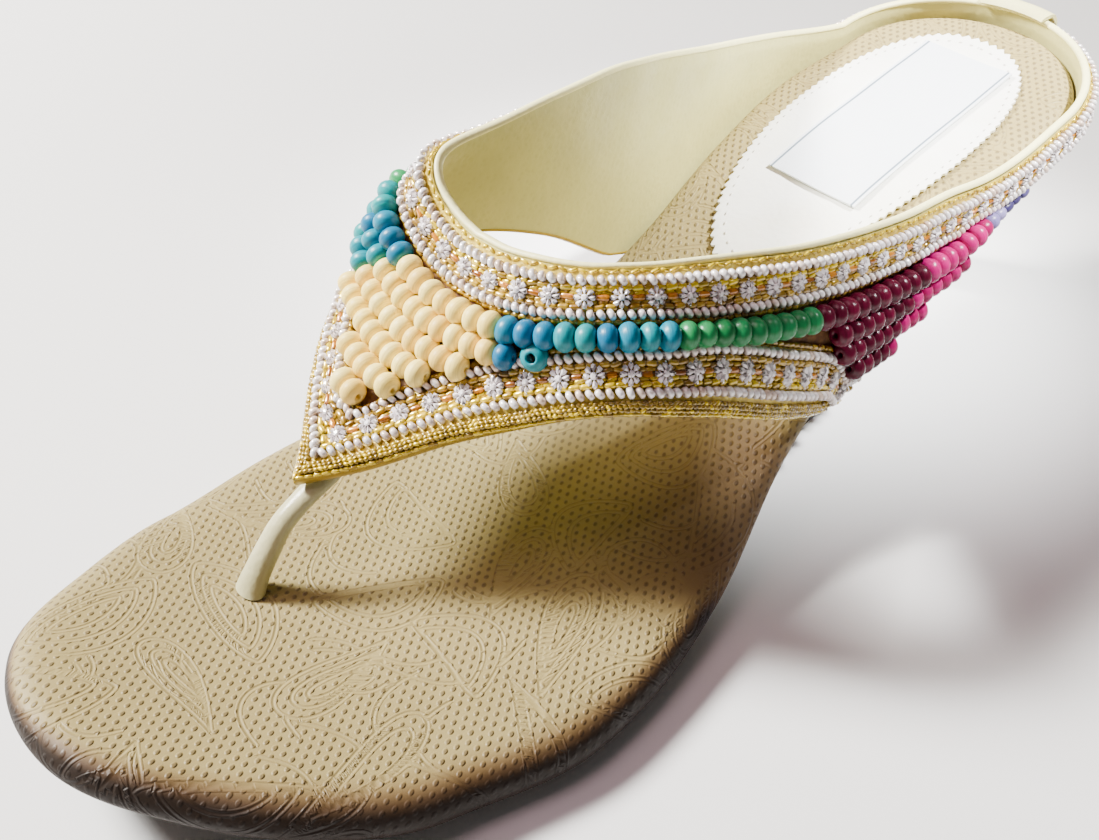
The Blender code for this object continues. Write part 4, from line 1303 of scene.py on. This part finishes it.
def field_cloth():
    """Dark gilt backing between the wood beads."""
    columns = 8
    rings = []
    for i in np.flatnonzero(band.room > 1.0):
        v = np.linspace(band.at_low(i, band.trim[i]), band.at_collar(i, TRIM_WIDTH * band.fit[i]), columns)
        rings.append(line_points(band.lines[i], v, WALL + 0.25))
    look = Look("backing_cloth", (0.22, 0.08, 0.035), 0.75)
    look.set(Base_Color=look.patches(look.noise(900, 3), (0.13, 0.05, 0.015), (0.30, 0.14, 0.04)))
    look.bump(look.noise(2000, 3), 0.0001, 0.8)
    faces = grid_faces(len(rings), columns)
    put("field_backing", "bead_field", np.concatenate(rings), faces, [look.material], replaces=False)


# ---- on the footbed


def pad():
    """Heel pad with a pinked edge and a line of pin holes."""
    count = 560
    around = turns(count)
    back = np.cos(around) > 0
    power = np.where(back, 2 / 2.4, 2 / 1.95)
    along = np.where(back, -PAD_BACK, PAD_FRONT) * np.abs(np.cos(around)) ** power
    across = PAD_HALF_WIDTH * np.sign(np.sin(around)) * np.abs(np.sin(around)) ** power
    # the same outline in even steps
    outline = np.stack([np.append(across, across[0]), np.append(along, along[0])], -1)
    length = travel(outline)
    total = length[-1]
    across, along = (np.interp(np.arange(count) * total / count, length, column) for column in outline.T)
    teeth = np.abs(((np.arange(count) * round(total / PINKING) / count) % 1) - 0.5) * 2
    rings, uv = [], []
    for share, rise in PAD_RINGS:
        scale = share + (teeth - 1.0) * 0.9 * smooth(0.9, 1.0, share) / 30.0
        x, station = PAD_X + across * scale, PAD_CENTRE + along * scale
        rings.append(place(x, station, PAD_GAP + rise * PAD_THICK + footbed_top(x, station)))
        uv.append(np.stack([np.full(count, share), np.arange(count) / count], -1))
    look = Look("pad_leather", (0.92, 0.91, 0.84), 0.5)
    ring = look.math("ABSOLUTE", look.math("SUBTRACT", look.part(look.flat, 0), 0.915))
    beat = look.math("SINE", look.times(look.part(look.flat, 1), 2 * math.pi * round(total / PIN_HOLES)))
    hole = look.times(look.range(ring, 0.0, 0.012, 1.0, 0.0), look.range(beat, 0.55, 0.85))
    base = look.patches(look.noise(70, 4, 0.6), (0.90, 0.88, 0.78), (0.96, 0.96, 0.91))
    look.set(Base_Color=look.mix(look.times(hole, 0.6), base, (0.35, 0.28, 0.18)))
    creases = look.bump(look.noise(120, 4, 0.6, distortion=1.2), 0.0003, 0.6)
    fine = look.bump(look.voronoi(900), 0.00005, 0.7, creases)
    look.bump(look.times(hole, -1.0), 0.0003, 0.8, fine)
    piece = loft("heel_pad_leather", "heel_pad", rings, look.material, uv=np.concatenate(uv), sharp=50)


def blank_label():
    """A blank satin label with two woven lines along its edges."""
    rows, columns = 61, 25
    u, w = np.meshgrid(np.linspace(-1, 1, columns), np.linspace(-1, 1, rows))
    x = LABEL_X + LABEL_HALF_WIDTH * u
    station = (LABEL_BACK + LABEL_FRONT) / 2 + (LABEL_FRONT - LABEL_BACK) / 2 * w
    wave = 0.06 * np.sin(w * 7 + u * 1.5) + 0.05 * np.sin(u * 5 - w * 3)
    base = 2 * PAD_GAP + PAD_THICK + footbed_top(x, station)
    verts = [place(x, station, base + rise).reshape(-1, 3) for rise in (LABEL_THICK + wave, 0.0)]
    total = rows * columns
    faces = grid_faces(rows, columns)
    faces += [face[::-1] for face in moved(faces, total)]
    grid = np.arange(total).reshape(rows, columns)
    rim = np.concatenate([grid[0], grid[1:, -1], grid[-1, -2::-1], grid[-2:0:-1, 0]]).tolist()
    faces += [(a, total + a, total + b, b) for a, b in zip(rim, rim[1:] + rim[:1])]
    look = Look("satin_label", (0.84, 0.86, 0.88), 0.34, Sheen_Weight=0.3)
    edge = look.math("ABSOLUTE", look.part(look.flat, 0))
    stripe = look.range(look.math("ABSOLUTE", look.math("SUBTRACT", edge, 0.93)), 0.012, 0.03, 1.0, 0.0)
    look.set(Base_Color=look.mix(look.times(stripe, 0.85), (0.84, 0.88, 0.93), (0.03, 0.08, 0.13)))
    thread = look.math("SINE", look.times(look.part(look.flat, 1), 420.0))
    look.bump(look.math("ADD", thread, look.times(stripe, -2.0)), 0.00004, 0.6)
    uv = np.tile(np.stack([u.ravel(), w.ravel()], -1), (2, 1))
    put("blank_label", "label", np.concatenate(verts), faces, [look.material], uv=uv, sharp=50)


# ---- stage


def stage():
    mesh = bpy.data.meshes.new("pale_floor")
    size = 3.0
    corners = [(-size, -size, 0), (size, -size, 0), (size, size, 0), (-size, size, 0)]
    mesh.from_pydata(corners, [], [(0, 1, 2, 3)])
    mesh.materials.append(Look("floor_paper", (0.86, 0.86, 0.855), 0.75).material)
    link("pale_floor", mesh)

    world = bpy.data.worlds.new("studio")
    world.use_nodes = True
    background = world.node_tree.nodes["Background"].inputs
    background["Color"].default_value = (1.0, 0.94, 0.92, 1)
    background["Strength"].default_value = 0.10
    bpy.context.scene.world = world
    for name, at, target, watts, angle, soft in SPOTS:
        spot = lamp(name, "SPOT", at, target, watts)
        spot.spot_size, spot.spot_blend, spot.shadow_soft_size = math.radians(angle), 1.0, soft
    for name, at, target, watts, width, colour in PANELS:
        panel = lamp(name, "AREA", at, target, watts)
        panel.size, panel.color = width, colour


def lamp(name, kind, at, target, watts):
    """A light at a place, aimed at another."""
    light = bpy.data.lights.new(name, kind)
    light.energy = watts
    z = unit(np.array(at) - np.array(target))
    x = unit(np.cross([0, 0, 1.0], z))
    body = link(name, light)
    body.location = at
    body.rotation_euler = Matrix(np.stack([x, np.cross(z, x), z], -1).tolist()).to_euler()
    return light


def camera():
    data = bpy.data.cameras.new("camera")
    data.lens = CAMERA_LENS
    data.sensor_width = 36.0
    data.clip_start = 0.01
    lens = link("camera", data)
    right, up = unit(np.array(CAMERA_RIGHT)), unit(np.array(CAMERA_UP))
    turn = Matrix(np.stack([right, up, np.cross(right, up)], -1).tolist()).to_4x4()
    at = (np.array(CAMERA_AT) + ORIGIN) * MM
    lens.matrix_world = Matrix.Translation(at.tolist()) @ turn
    bpy.context.scene.camera = lens


# ---- assembly

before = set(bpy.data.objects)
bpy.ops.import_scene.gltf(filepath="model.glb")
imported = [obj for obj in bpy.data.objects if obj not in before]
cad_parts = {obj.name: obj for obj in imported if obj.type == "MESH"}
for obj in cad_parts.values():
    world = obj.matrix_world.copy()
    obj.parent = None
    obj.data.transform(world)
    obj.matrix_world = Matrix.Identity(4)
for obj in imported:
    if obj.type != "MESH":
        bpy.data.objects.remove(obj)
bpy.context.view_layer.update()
low, high = (np.array(corner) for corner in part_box("top_piece"))
tip_centre = (low + high) / 2 / MM
ORIGIN = np.array([tip_centre[0] - HEEL_X, tip_centre[1] + HEEL_TIP_STATION, -FLOOR])

band = Band()
footbed_skin()
outsole_skin()
heel_skin()
band_leather()
binding()
tab()
post()
trims()
field_cloth()
wood_beads()
pad()
blank_label()
stage()
camera()
